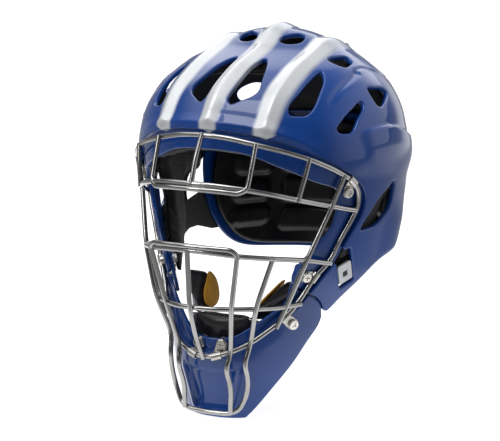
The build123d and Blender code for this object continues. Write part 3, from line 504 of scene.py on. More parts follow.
VENTS = {
    "brow": [(13.3, -44.0, 143.3), (9.9, -54.2, 140.5), (9.4, -66.9, 136.2), (9.5, -79.6, 130.4), (9.7, -91.9, 124.2), (10.2, -101.2, 118.1), (12.9, -104.6, 114.5), (20.6, -100.7, 116.7),
             (26.6, -95.2, 119.5), (29.7, -88.3, 123.1), (28.2, -80.3, 127.7), (24.8, -68.5, 133.7), (19.7, -53.1, 140.2)],
    "crown": [(10.8, -13.4, 155.8), (12.5, -9.2, 157.7), (16.6, -5.7, 159.1), (25.5, 0.5, 159.1), (28.9, -3.3, 157.0), (27.8, -11.5, 153.7), (22.3, -15.2, 152.9), (14.5, -16.0, 153.8)],
    "temple": [(62.1, -38.9, 134.8), (59.9, -48.9, 132.0), (59.2, -62.7, 126.3), (58.2, -78.4, 118.2), (57.3, -88.0, 110.6), (59.0, -89.6, 106.7), (64.7, -85.9, 105.3), (69.5, -81.2, 105.5),
               (71.8, -76.1, 108.4), (72.4, -67.6, 115.3), (70.7, -57.1, 122.8), (67.2, -45.0, 130.0)],
    "top": [(57.5, -18.4, 142.6), (58.9, -11.2, 143.7), (61.7, -3.9, 143.7), (65.2, 2.1, 142.4), (70.2, 1.4, 139.5), (72.4, -7.0, 137.5), (71.5, -15.6, 136.6), (67.1, -18.8, 138.3), (61.8, -19.9, 140.6)],
    "rear_top": [(91.8, -14.2, 120.3), (92.9, -4.3, 120.2), (94.1, 8.9, 118.1), (95.9, 14.6, 114.4), (98.9, 8.3, 110.7), (101.6, -2.2, 107.3), (102.2, -10.4, 105.7), (100.9, -14.2, 107.3), (97.9, -15.7, 111.9),
                 (94.7, -15.7, 116.6)],
    "side": [(94.9, -30.8, 111.3), (93.1, -41.5, 108.6), (91.5, -52.1, 103.8), (90.2, -60.3, 98.3), (89.7, -65.3, 92.9), (91.2, -64.1, 90.6), (94.3, -59.4, 89.5), (97.0, -54.0, 89.8), (97.9, -46.8, 96.2),
             (97.8, -39.1, 102.5), (96.8, -31.9, 108.0)],
    "ear": [(111.0, -0.8, 43.3), (109.8, -9.6, 39.1), (107.6, -18.3, 33.3), (104.8, -25.6, 26.0), (101.9, -31.4, 18.4), (99.3, -35.5, 12.2), (97.8, -36.6, 7.4), (99.5, -29.2, 6.5), (101.7, -19.4, 7.3),
            (104.2, -9.3, 12.2), (106.4, -1.5, 20.3), (108.2, 1.4, 29.6)],
    "rear": [(57.0, 96.5, 97), (61, 90.5, 103.5), (71, 82.5, 103.5), (80.0, 77.5, 95), (79.0, 81.5, 88.5), (68.0, 92.5, 89.5)],
}
WIN = [(92.1, -44.9, -4.5), (89.5, -31.1, -30.3), (81.7, -46.2, -40.6), (84.7, -56.3, -14.7)]
RIB_X, RIB_HALF, RIB_H = 45.5, 9.6, 4.4

MAIN = runs(STEP_UP, SEAM[:-1] + [(-54.6, -59.4)], SHELL_LOW, [None, (150, 70), (150, 190), (-140, 190)])
step_line = spline(STEP_UP)
step_low = spline(STEP_DOWN)


def shifted(line, d):
    t = np.gradient(np.asarray(line, float), axis=0)
    t = t / np.linalg.norm(t, axis=1, keepdims=True)
    return np.asarray(line) + np.stack([-t[:, 1], t[:, 0]], 1) * d


def hole_field(P, N, pts, reach=14.0):
    """Distance outside a hole drawn on the form, in the plane square to the form at its middle. Both sides of the helmet."""
    q = depth_move(pts)
    c = q.mean(0)
    n = unit(gradient(c[None])[0])
    ax = unit(np.cross([0, 0, 1.0], n))
    ay = np.cross(n, ax)
    flat = np.stack([(q - c) @ ax, (q - c) @ ay], 1)
    outline = spline(flat, closed=True, per=10)
    size = np.abs(flat).max() + reach
    f = np.full(P.shape[:2], 99.0)
    for s in (1, -1):
        Q = P * np.array([s, 1, 1.0])
        M = N * np.array([s, 1, 1.0])
        d = Q - c
        near = (np.linalg.norm(d, axis=-1) < size * 1.5) & (M @ n > 0.3) & (Q[..., 0] > -2)
        uv = np.stack([d[near] @ ax, d[near] @ ay], 1)
        v = -inside_distance(uv, outline)
        f[near] = np.minimum(f[near], v)
    return f


def plate_field(P, c, right, upv, nrm, w, h, r):
    """Distance outside a rounded rectangle in a plane, both sides of the helmet."""
    f = np.full(P.shape[:2], 99.0)
    for s in (1, -1):
        Q = P * np.array([s, 1, 1.0])
        d = Q - c
        a, b, k = np.abs(d @ right) - (w / 2 - r), np.abs(d @ upv) - (h / 2 - r), np.abs(d @ nrm)
        v = np.hypot(np.maximum(a, 0), np.maximum(b, 0)) + np.minimum(np.maximum(a, b), 0) - r
        f = np.where((k < 30) & (v < f), v, f)
    return f


WIN_C = depth_move(np.array([[87.2, -44.0, -23.5]]))[0]
WIN_N = unit(gradient(WIN_C[None])[0])
wa = np.array(WIN[0]) + WIN[3] - np.array(WIN[1]) - np.array(WIN[2])
WIN_UP = unit(wa - WIN_N * (wa @ WIN_N))
WIN_AC = unit(np.cross(WIN_UP, WIN_N))
if WIN_AC[1] < 0:
    WIN_AC = -WIN_AC

GRID = form_grid(1.49)
GP, GN = GRID
YZ = GP[..., 1:]
ax_ = np.abs(GP[..., 0])
f_main = inside_distance(YZ, MAIN)
f_holes = {k: hole_field(GP, GN, v) for k, v in VENTS.items()}
f_win = plate_field(GP, WIN_C - WIN_UP * 0.8, WIN_AC, WIN_UP, WIN_N, 16.6, 33.6, 2.6)
d_step, _ = line_distance(YZ, step_line)

# ------------------------------------------------------------------ raised shapes on the shell
z_, y_ = GP[..., 2], GP[..., 1]


def ridge(x, half, sharp=1.0, foot=1.2):
    """Cross section of a rib: two flat flanks that meet in a slightly rounded crest."""
    d = np.sqrt(x * x + sharp * sharp) - sharp * 0.4
    v = 1 - d / half
    k = foot / half
    return np.where(v > k, v, np.where(v < -k, 0, (v + k) ** 2 / (4 * k)))


raised = np.zeros(GP.shape[:2])
end_front = d_step                               # distance from the brow's lower edge
for xc in (-RIB_X, 0.0, RIB_X):
    x = GP[..., 0] - xc
    prof = ridge(x, RIB_HALF * (1 - 0.26 * (1 - smoothstep(y_, -122.0, -72.0)) * (z_ > 60)))
    fade_rear = 1 - smoothstep(y_, 6.0, 66.0)
    # the flanks run down into a short end facet just above the brow
    fade_front = np.clip((d_step - 2.6) / 4.2, 0, 1)
    on = (z_ > 60) & (y_ < 90)
    raised += np.where(on, RIB_H * prof * fade_rear * fade_front, 0)
# brow: the shell turns out in a fine ridge over the opening and then under to its edge
brow_w = 1 - smoothstep(ax_, 62.0, 86.0)
ridge_at = 5.4
lip = np.where(d_step < ridge_at, 1 - (ridge_at - d_step) / ridge_at * 1.15, np.clip(1 - (d_step - ridge_at) / 9.0, 0, 1) ** 1.6)
front_zone = np.where((y_ < 0) & (z_ > 40), 1.0, 0.0)
raised += 2.0 * lip * brow_w * front_zone

# side panel: a crease that falls from the crown vents, and the bulge over the ear below a soft ledge
CREASE = np.array([(79.9, -9.4, 131.7), (80.7, -34.3, 125.2), (80.3, -49.8, 119.3), (80.0, -62.2, 111.4)], float)
LEDGE = np.array([(99.5, -50.0, 89.3), (101.2, -43.4, 90.7), (105.8, -25.7, 92.4), (108, -10.1, 91.8), (107.3, 18.4, 85.1), (102.3, 42, 77.6), (88, 74, 70.0)], float)
RIDGE = np.array([(79.9, -9.4, 131.7), (79.7, 1.5, 132.6), (82.1, 22.8, 128.1), (80, 51.6, 119.3), (70, 72, 110.0)], float)


def side_line(line, reach=16.0):
    """(signed distance above the line, share along it, distance) near a line on the form, both sides."""
    c = spline(depth_move(line), per=8)
    Q = GP * np.array([1, 1, 1.0])
    Q = np.stack([ax_, y_, z_], -1)
    near = (Q[..., 0] > c[:, 0].min() - reach) & (Q[..., 1] > c[:, 1].min() - reach) & (Q[..., 1] < c[:, 1].max() + reach) \
        & (Q[..., 2] > c[:, 2].min() - reach * 1.5) & (Q[..., 2] < c[:, 2].max() + reach * 1.5)
    d = np.full(GP.shape[:2], 99.0)
    al = np.zeros(GP.shape[:2])
    sg = np.ones(GP.shape[:2])
    dd, aa = line_distance(Q[near], c)
    d[near], al[near] = dd, aa
    ln = np.concatenate([[0], np.cumsum(np.linalg.norm(np.diff(c, axis=0), axis=1))])
    foot = np.stack([np.interp(aa * ln[-1], ln, c[:, k]) for k in range(3)], 1)
    sg[near] = np.sign(Q[near][:, 2] - foot[:, 2] + 0.3 * (Q[near][:, 0] - foot[:, 0]) * -1)
    return d, al, sg


dc, ac, sc = side_line(CREASE)
fade = np.sin(np.clip(ac, 0.0, 1.0) * math.pi * 0.5 + math.pi * 0.5) ** 0.7
crease = -1.7 * np.exp(-(dc / 2.6) ** 2) * np.clip(fade, 0, 1)
raised += np.where(dc < 15, crease, 0)
dr, ar, sr = side_line(RIDGE)
raised += np.where(dr < 15, -1.3 * np.clip(1 - np.abs(dr - 2.4) / 2.4, 0, 1) * (sr > 0) * (1 - smoothstep(ar, 0.7, 1.0)), 0)
dl, al_, sl = side_line(LEDGE, 40.0)
bulge = 2.6 * (1 - smoothstep(al_, 0.86, 1.0)) * smoothstep(al_, 0.0, 0.12)
below = (sl < 0)
raised += np.where((dl < 39) & below, bulge * np.minimum(smoothstep(dl, 0.0, 3.2), 1 - smoothstep(dl, 12, 38)), 0)

# the wall flares out towards its rear edge behind the ear
flare = 4.4 * smoothstep(y_, -8.0, 24.0) * (1 - smoothstep(y_, 34.0, 62.0)) * (1 - smoothstep(z_, 4.0, 44.0)) * smoothstep(z_, -34.0, -14.0)
raised += flare

fields = [(f_main, 1.2)] + [(v, 1.5) for v in f_holes.values()] + [(f_win, 1.2)]


# ------------------------------------------------------------------ materials
def material(name):
    m = bpy.data.materials.new(name)
    m.use_nodes = True
    t = m.node_tree
    t.nodes.clear()
    out = t.nodes.new("ShaderNodeOutputMaterial")
    bsdf = t.nodes.new("ShaderNodeBsdfPrincipled")
    t.links.new(bsdf.outputs[0], out.inputs[0])
    return m, t, bsdf


class Tree:
    """Short hands for building a node tree."""

    def __init__(self, t):
        self.t = t

    def add(self, kind, **props):
        n = self.t.nodes.new(kind)
        for k, v in props.items():
            setattr(n, k, v)
        return n

    def link(self, a, b):
        self.t.links.new(a, b)
        return b

    def put(self, sock, v):
        if hasattr(v, "links") or isinstance(v, bpy.types.NodeSocket):
            self.t.links.new(v, sock)
        else:
            sock.default_value = v

    def math(self, op, a, b=None, c=None, clamp=False):
        n = self.add("ShaderNodeMath", operation=op, use_clamp=clamp)
        for i, v in enumerate((a, b, c)):
            if v is not None:
                self.put(n.inputs[i], v)
        return n.outputs[0]

    def coords(self, kind="Object"):
        return self.add("ShaderNodeTexCoord").outputs[kind]

    def xyz(self, vec):
        n = self.add("ShaderNodeSeparateXYZ")
        self.link(vec, n.inputs[0])
        return n.outputs

    def noise(self, vec, scale, detail=3.0, rough=0.5, dist=0.0):
        n = self.add("ShaderNodeTexNoise")
        self.link(vec, n.inputs["Vector"])
        n.inputs["Scale"].default_value = scale
        n.inputs["Detail"].default_value = detail
        n.inputs["Roughness"].default_value = rough
        n.inputs["Distortion"].default_value = dist
        return n.outputs["Fac"]

    def scaled(self, vec, s):
        n = self.add("ShaderNodeMapping")
        self.link(vec, n.inputs[0])
        n.inputs["Scale"].default_value = s
        return n.outputs[0]

    def ramp(self, fac, stops, interp="LINEAR"):
        n = self.add("ShaderNodeValToRGB")
        self.put(n.inputs[0], fac)
        e = n.color_ramp.elements
        n.color_ramp.interpolation = interp
        while len(e) < len(stops):
            e.new(0.5)
        for el, (p, c) in zip(e, stops):
            el.position = p
            el.color = c if len(c) == 4 else (*c, 1)
        return n.outputs[0]

    def mix(self, fac, a, b):
        n = self.add("ShaderNodeMix", data_type="RGBA")
        self.put(n.inputs[0], fac)
        for s, v in ((n.inputs[6], a), (n.inputs[7], b)):
            if isinstance(v, tuple):
                s.default_value = (*v, 1) if len(v) == 3 else v
            else:
                self.link(v, s)
        return n.outputs[2]

    def span(self, v, a, b, c=0.0, d=1.0, smooth=True):
        n = self.add("ShaderNodeMapRange", interpolation_type="SMOOTHSTEP" if smooth else "LINEAR")
        self.put(n.inputs[0], v)
        for i, k in enumerate((a, b, c, d)):
            n.inputs[i + 1].default_value = k
        return n.outputs[0]

    def bump(self, height, strength, distance, normal=None):
        n = self.add("ShaderNodeBump")
        self.put(n.inputs["Height"], height)
        n.inputs["Strength"].default_value = strength
        n.inputs["Distance"].default_value = distance
        if normal is not None:
            self.link(normal, n.inputs["Normal"])
        return n.outputs[0]


def srgb(r, g, b):
    f = lambda c: c / 12.92 if c <= 0.04045 else ((c + 0.055) / 1.055) ** 2.4
    return (f(r / 255), f(g / 255), f(b / 255))


BLUE_DEEP, BLUE = (0.0032, 0.040, 0.205), (0.0046, 0.055, 0.280)
SILVER = srgb(226, 229, 230)


def gloss_paint(name, silver=False):
    """Glossy moulded plastic under clear lacquer; with silver, the airbrushed ribs on the crown, and without silver,
    the same blue darkened to 0.84 as painted shade.
    """
    m, t, b = material(name)
    k = Tree(t)
    o = k.coords()
    flake = k.noise(k.scaled(o, (1, 1, 1)), 900.0, 2.0, 0.6)
    cloud = k.noise(o, 9.0, 3.0, 0.5)
    # painted shade: the copy without silver, used on the chin guard and the back plate, is the same blue made darker
    shade = 1.0 if silver else 0.84
    base = k.mix(k.span(cloud, 0.35, 0.65), tuple(c * shade for c in BLUE_DEEP), tuple(c * shade for c in BLUE))
    base = k.mix(k.span(flake, 0.45, 0.75, 0.0, 0.12), base, (0.016, 0.085, 0.40))
    rough = k.span(cloud, 0.3, 0.7, 0.30, 0.36)
    metal = None
    if silver:
        x, y, z = k.xyz(o)
        mask = None
        taper = k.span(y, -0.108, -0.058, 1.34, 1.0)
        for xc, z0 in ((-0.0455, 0.2312), (0.0, 0.2350), (0.0455, 0.2312)):
            d = k.math("ABSOLUTE", k.math("SUBTRACT", x, xc))
            # each rib's silver narrows to a blunt point just over the brow's ridge
            low = k.span(k.math("SUBTRACT", z, k.math("MULTIPLY", d, 0.42)), z0, z0 + 0.0012)
            e = k.math("MULTIPLY", d, taper)
            g = k.math("MULTIPLY", k.span(e, 0.0072, 0.0124, 1.0, 0.0), k.math("MAXIMUM", low, k.span(y, 0.02, 0.03, 0.0, 1.0)))
            mask = g if mask is None else k.math("MAXIMUM", mask, g)
        soft = k.noise(o, 60.0, 4.0, 0.6)
        # the silver fades out over the crown
        mask = k.math("MULTIPLY", mask, k.span(y, -0.004, 0.066, 1.0, 0.0))
        mask = k.math("ADD", mask, k.math("MULTIPLY", k.math("SUBTRACT", soft, 0.5), k.math("MULTIPLY", mask, k.math("MULTIPLY", k.math("SUBTRACT", 1.0, mask), 1.2))), clamp=True)
        grain = k.noise(o, 1400.0, 2.0, 0.6)
        silver_c = k.mix(k.span(grain, 0.35, 0.7, 0.0, 1.0), srgb(206, 210, 213), SILVER)
        base = k.mix(mask, base, silver_c)
        k.link(k.math("MULTIPLY", mask, 0.18), b.inputs["Metallic"])
        rough = k.math("ADD", rough, k.math("MULTIPLY", mask, 0.05))
    k.link(base, b.inputs["Base Color"])
    k.link(rough, b.inputs["Roughness"])
    b.inputs["Specular IOR Level"].default_value = 0.12
    b.inputs["Coat Weight"].default_value = 1.0
    b.inputs["Coat Roughness"].default_value = 0.05
    b.inputs["Coat IOR"].default_value = 1.44
    peel = k.noise(o, 120.0, 2.0, 0.4)
    k.link(k.bump(peel, 0.06, 0.0004), b.inputs["Coat Normal"])
    return m


shell_paint = gloss_paint("shell_paint", True)
# the guard's copy of the paint is darkened as painted shade
guard_paint_shaded = gloss_paint("guard_paint_shaded")


def inner_shade_skin(name):
    """Near-black matt skin on the shell's inner side: painted shade, the blue shell's inside made dark."""
    m, t, b = material(name)
    k = Tree(t)
    o = k.coords()
    n1, n2 = k.noise(o, 40.0, 4.0, 0.6), k.noise(o, 1200.0, 3.0, 0.6)
    k.link(k.mix(k.span(n1, 0.3, 0.7), (0.004, 0.0045, 0.007), (0.008, 0.009, 0.013)), b.inputs["Base Color"])
    k.link(k.span(n1, 0.3, 0.7, 0.62, 0.75), b.inputs["Roughness"])
    b.inputs["Specular IOR Level"].default_value = 0.25
    k.link(k.bump(n2, 0.2, 0.0003), b.inputs["Normal"])
    return m


shell_inner_shade = inner_shade_skin("shell_inner_shade")

# ------------------------------------------------------------------ shell and chin guard
BAND = runs(INNER_UP, [None, (-84.3, -36), (-80, -38.2), (-72.5, -41.8)], shifted(step_line, 3.8)[::-1])


def baked(ob):
    """The object's mesh with its modifiers applied."""
    bpy.context.view_layer.update()
    dg = bpy.context.evaluated_depsgraph_get()
    me = bpy.data.meshes.new_from_object(ob.evaluated_get(dg))
    ob.modifiers.clear()
    old = ob.data
    ob.data = me
    bpy.data.meshes.remove(old)
    me.name = ob.name


def join_meshes(parts):
    pts, faces, n = [], [], 0
    for p, f in parts:
        pts.append(p)
        faces.append(f + n)
        n += len(p)
    return np.vstack(pts), np.vstack(faces)


def wall(fields, t_out, t_in, raised=None, grid=None, **kw):
    w = Wall(grid or GRID, fields, t_out, t_in, raised=raised)
    w.build()
    p, f, inner = w.mesh(**kw)
    return p, f


def line_inside(ob, inner_shade, count):
    """The inner side of the object's first wall (its first count points, the second half of them inside) takes the
    painted-shade material and, being plain, fewer faces."""
    me = ob.data
    me.materials.append(inner_shade)
    vi = np.empty(len(me.loops), np.int32)
    me.loops.foreach_get("vertex_index", vi)
    inner = (vi >= count) & (vi < 2 * count)
    start = np.empty(len(me.polygons), np.int32)
    me.polygons.foreach_get("loop_start", start)
    k = np.logical_and.reduceat(inner, start)
    me.polygons.foreach_set("material_index", k.astype(np.int32))
    edge = np.zeros(len(me.vertices), bool)
    ends = np.append(start[1:], len(vi))
    for a in (0, 1, 2, 3):
        q = start + a
        ok = (q < ends) & ~k
        edge[vi[q[ok]]] = True
    g = ob.vertex_groups.new(name="plain")
    g.add([int(i) for i in np.nonzero(~edge[:2 * count])[0] if i >= count], 1.0, "ADD")
    md = ob.modifiers.new("thin", "DECIMATE")
    md.ratio = 0.64
    md.vertex_group = "plain"
    baked(ob)
    ob.data.shade_smooth()
    ob.vertex_groups.clear()


band_f = inside_distance(YZ, BAND)
band_lift = 1.15 * smoothstep(f_main, -2.2, 0.2)
w = Wall(GRID, fields, 0.0, 4.0, raised=raised, inner_raised=flare)
w.build()
main_count = len(w.u)
parts = [w.mesh()[:2], wall([(band_f, 1.2)], 5.0, 8.6, band_lift)]
shell = new_mesh("helmet_shell", *join_meshes(parts))
shell.data.materials.append(shell_paint)
# the main wall's inner side gets painted shade: near-black instead of the shell's blue
line_inside(shell, shell_inner_shade, main_count)
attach(shell, "helmet")
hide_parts("front_shell")

CHIN = runs([None] + [(-72.8, -42.6)], [(-72.8, -42.6), (-66.4, -46.2), (-61, -50.8), (-56.8, -56.4), (-54.6, -62)], CHIN_LOW[:-1],
            [None, (-101.2, -144.5), (-140, -144.5)], STEP_DOWN[::-1])
f_chin = inside_distance(YZ, CHIN)
low_in = np.asarray(STEP_DOWN, float) + np.array([2.4, -3.0])
CBAND = runs([None, (-83.9, -37.6)], INNER_DOWN[1:], low_in[::-1], [None, (-70.1, -44.8), (-72.8, -42.6), (-80.3, -39.0)])
f_cband = inside_distance(YZ, CBAND)
d_low, _ = line_distance(YZ, step_low)

# chin front: a shelf over a scooped panel, with a crease down each side
chin_r = np.zeros(GP.shape[:2])
half_w = 25.5 + (z_ + 104.3) * 0.255
edge = smoothstep(half_w - ax_, 0.0, 2.6)
shelf_z = -99.0 - 3.0 * (1 - (ax_ / 26.0) ** 2)
scoop = smoothstep(shelf_z - z_, 0.0, 4.5) * smoothstep(z_, -141.0, -131.0)
chin_r += np.where(y_ < -80, -2.4 * edge * scoop, 0)
chin_r += np.where(y_ < -80, 1.3 * np.exp(-((ax_ - half_w - 1.0) / 2.2) ** 2) * smoothstep(-98.0 - z_, 0, 8) * smoothstep(z_, -143.0, -136.0), 0)
# jaw seam: the guard stands a little under the shell's edge
cband_lift = 1.15 * smoothstep(f_chin, -2.2, 0.2)
T_REG = runs([None, (-84, -54), (-84, -20), (-66, -16), (-59, -24), (-59, -54)])
SEAM_LAP = runs([None, (-74, -47), (-73, -39.6), (-65.5, -42.9), (-58.6, -47.8), (-53.6, -54.5), (-52.0, -61.5), (-56.5, -62.5), (-60, -56.5), (-64.5, -51.8)])
T_LINK = runs([None, (-84, -44), (-76, -41.8), (-70.5, -44.9), (-65, -48.9), (-59.5, -54), (-59, -60), (-84, -60)])
parts = [wall([(f_chin, 1.3)], 0.0, 4.5, chin_r), wall([(f_cband, 1.2)], 5.0, 8.6, cband_lift),
         wall([(inside_distance(YZ, T_REG), 1.0)], 8.9, 11.7),
         wall([(inside_distance(YZ, SEAM_LAP), 0.7)], 4.7, 6.3)]
chin = new_mesh("chin_guard_shell", *join_meshes(parts))
chin.data.materials.append(guard_paint_shaded)
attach(chin, "helmet")
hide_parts("chin_guard")

P_REG = runs([(66, 78), (53, 60), (43, 40), (40, 22), (39.5, 8), (41, -5), (45, -17.5), (51.5, -29), (60, -37), (72, -41.2), (84, -42.4), (150, -42)], [None, (150, 79)])
f_plate = inside_distance(GP[..., 1:] - GN[..., 1:] * 8.3, P_REG)
plate = new_mesh("back_plate_shell", *wall([(f_plate, 1.5)], 6.6, 10.0))
plate.data.materials.append(guard_paint_shaded)
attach(plate, "back_plate")
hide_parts("back_plate")

# ------------------------------------------------------------------ padding
def get_co(me):
    a = np.empty(len(me.vertices) * 3, np.float32)
    me.vertices.foreach_get("co", a)
    return a.reshape(-1, 3).astype(float)


def set_co(me, p):
    me.vertices.foreach_set("co", np.asarray(p, np.float32).ravel())
    me.update()


def to_head(p):
    return np.asarray(p) * 1000.0 - np.array([0.0, SHIFT_Y, SHIFT_Z])


def depth_at(p):
    return (1 - level(p)) / np.maximum(np.linalg.norm(gradient(p), axis=-1), 1e-9)


def normals_of(me):
    a = np.empty(len(me.vertices) * 3, np.float32)
    me.vertices.foreach_get("normal", a)
    return a.reshape(-1, 3).astype(float)


def edges_of(me):
    a = np.empty(len(me.edges) * 2, np.int32)
    me.edges.foreach_get("vertices", a)
    return a.reshape(-1, 2)


def relaxed(p, e, times, share=0.5):
    n = len(p)
    deg = np.maximum(np.bincount(e.ravel(), minlength=n), 1)[:, None]
    for _ in range(times):
        s = np.stack([np.bincount(e[:, 0], weights=p[e[:, 1], k], minlength=n) + np.bincount(e[:, 1], weights=p[e[:, 0], k], minlength=n) for k in range(3)], 1)
        p = p + share * (s / deg - p)
    return p


def pad_blank(name, node, voxel=0.0042, soften=3, inset=0.0010):
    """A remeshed, slightly smaller copy of a CAD pad, ready to be filled."""
    ob = bpy.data.objects.new(name, nodes[node].data.copy())
    bpy.context.scene.collection.objects.link(ob)
    ob.data.materials.clear()
    md = ob.modifiers.new("remesh", "REMESH")
    md.mode = "VOXEL"
    md.voxel_size = voxel
    baked(ob)
    p = relaxed(get_co(ob.data), edges_of(ob.data), soften)
    set_co(ob.data, p)
    set_co(ob.data, p - normals_of(ob.data) * inset)
    return ob


def fill(pads, pressure=4.0, cap=0.0026, frames=20):
    """Blows the pads up with cloth simulation and keeps the result as their mesh."""
    sc = bpy.context.scene
    rest = {}
    for ob in pads:
        rest[ob.name] = get_co(ob.data)
        c = ob.modifiers.new("cloth", "CLOTH")
        s = c.settings
        s.quality = 5
        s.mass = 0.25
        s.use_pressure = True
        s.uniform_pressure_force = pressure
        s.tension_stiffness = s.compression_stiffness = 12
        s.shear_stiffness = 4
        s.bending_stiffness = 0.3
        s.effector_weights.gravity = 0
        c.collision_settings.use_collision = False
        c.collision_settings.use_self_collision = False
        c.point_cache.frame_start, c.point_cache.frame_end = 1, frames
    for f in range(1, frames + 1):
        sc.frame_set(f)
    dg = bpy.context.evaluated_depsgraph_get()
    for ob in pads:
        ev = ob.evaluated_get(dg)
        m = ev.to_mesh()
        q = get_co(m)
        ev.to_mesh_clear()
        ob.modifiers.clear()
        d = q - rest[ob.name]
        ln = np.linalg.norm(d, axis=1, keepdims=True)
        d = d * np.minimum(1, cap / np.maximum(ln, 1e-9))
        set_co(ob.data, rest[ob.name] + d)
    sc.frame_set(1)


def keep_depth(ob, lo=None, hi=None):
    """Moves points that come nearer the outer form than lo, or go deeper than hi, back to that depth. In millimetres."""
    p = to_head(get_co(ob.data))
    d = depth_at(p)
    n = unit(gradient(p))
    if lo is not None:
        over = np.maximum(lo - d, 0)
        p = p - n * over[:, None]
    if hi is not None:
        over = np.maximum(depth_at(p) - hi, 0)
        p = p + n * over[:, None]
    set_co(ob.data, row(p))


def subdivided(ob):
    md = ob.modifiers.new("subdiv", "SUBSURF")
    md.levels = md.render_levels = 1
    baked(ob)
    ob.data.shade_smooth()


def form_x(y, z, off):
    """x of the form, off mm in, over side-view points."""
    lo, hi = np.zeros(len(y)), np.full(len(y), 125.0)
    for _ in range(34):
        m = (lo + hi) / 2
        q = np.stack([m, y, z], 1)
        inside = depth_at(q) > off
        lo, hi = np.where(inside, m, lo), np.where(inside, hi, m)
    return lo


def tube(line, r=0.6, sides=6, closed=True):
    """Points and quads of a thin round cord along a line of points."""
    p = np.asarray(line, float)
    n = len(p)
    t = unit(np.roll(p, -1, 0) - np.roll(p, 1, 0)) if closed else unit(np.gradient(p, axis=0))
    ref = np.cross(t, [0.31, 0.17, 0.93])
    a = unit(ref)
    b = np.cross(t, a)
    pts = np.concatenate([p + r * (math.cos(w) * a + math.sin(w) * b) for w in np.linspace(0, 2 * math.pi, sides, endpoint=False)])
    faces = []
    last = n if closed else n - 1
    for s in range(sides):
        s2 = (s + 1) % sides
        for i in range(last):
            j = (i + 1) % n
            faces.append((s * n + i, s * n + j, s2 * n + j, s2 * n + i))
    return pts, np.array(faces)


def add_cord(ob, lines, r=0.6, sink=0.25, closed=True):
    """Sewn piping along lines (head frame, mm), laid onto the pad's surface and joined to its mesh."""
    from mathutils.bvhtree import BVHTree
    dg = bpy.context.evaluated_depsgraph_get()
    tree = BVHTree.FromObject(ob, dg)
    pts, faces = [], []
    total = 0
    for line in lines:
        q = []
        for p in row(np.asarray(line, float)):
            loc, nrm, _, _ = tree.find_nearest(Vector(p))
            q.append(np.array(loc + nrm * (-sink / 1000.0)))
        q = to_head(np.array(q))
        for _ in range(6):
            q = q * 0.5 + 0.25 * (np.roll(q, 1, 0) + np.roll(q, -1, 0)) if closed else np.vstack([q[:1], q[1:-1] * 0.5 + 0.25 * (q[:-2] + q[2:]), q[-1:]])
        a, f = tube(q, r, closed=closed)
        pts.append(a)
        faces.append(f + total)
        total += len(a)
    cord_ob = new_mesh(ob.name + "_piping", np.vstack(pts), np.vstack(faces))
    return cord_ob


def join_into(ob, others):
    """One mesh of several, each with its own materials."""
    bm = bmesh.new()
    mats = []
    for o in [ob] + others:
        me = o.data
        base = len(mats)
        mats += [m for m in me.materials] or [None]
        n0 = len(bm.faces)
        bm.from_mesh(me)
        bm.faces.ensure_lookup_table()
        for f in bm.faces[n0:]:
            f.material_index += base
    me = bpy.data.meshes.new(ob.name)
    bm.to_mesh(me)
    bm.free()
    for m in mats:
        me.materials.append(m)
    me.shade_smooth()
    old = ob.data
    ob.data = me
    for o in others:
        bpy.data.objects.remove(o)


def fabric(name, colour, light, grain=1500.0, rough=0.82, sheen=0.25, weave=0.35, spec=0.35):
    """Close knit cloth: small crossed ribs and a mottled shade."""
    m, t, b = material(name)
    k = Tree(t)
    o = k.coords()
    x, y, z = k.xyz(o)
    w1 = k.math("SINE", k.math("MULTIPLY", k.math("ADD", x, k.math("MULTIPLY", z, 0.6)), grain * 3.0))
    w2 = k.math("SINE", k.math("MULTIPLY", k.math("SUBTRACT", k.math("MULTIPLY", y, 0.9), z), grain * 3.0))
    knit = k.math("MULTIPLY", k.math("ADD", w1, 1.0), k.math("ADD", w2, 1.0))
    cloud = k.noise(o, 70.0, 5.0, 0.6)
    fac = k.math("ADD", k.math("MULTIPLY", k.span(knit, 0.4, 3.0), 0.45), k.math("MULTIPLY", k.span(cloud, 0.3, 0.72), 0.55))
    k.link(k.mix(fac, colour, light), b.inputs["Base Color"])
    k.link(k.span(cloud, 0.3, 0.7, rough - 0.06, rough + 0.08), b.inputs["Roughness"])
    b.inputs["Specular IOR Level"].default_value = spec
    b.inputs["Sheen Weight"].default_value = sheen
    b.inputs["Sheen Roughness"].default_value = 0.5
    soft = k.bump(cloud, 0.35, 0.0008)
    k.link(k.bump(knit, weave, 0.00025, soft), b.inputs["Normal"])
    return m


def foam(name, colour, light, rough=0.42):
    """Moulded closed-cell foam with a soft skin."""
    m, t, b = material(name)
    k = Tree(t)
    o = k.coords()
    n1, n2 = k.noise(o, 55.0, 4.0, 0.6), k.noise(o, 900.0, 3.0, 0.6)
    k.link(k.mix(k.span(n1, 0.3, 0.7), colour, light), b.inputs["Base Color"])
    k.link(k.span(n1, 0.3, 0.7, rough - 0.06, rough + 0.1), b.inputs["Roughness"])
    k.link(k.bump(n2, 0.22, 0.0003), b.inputs["Normal"])
    return m


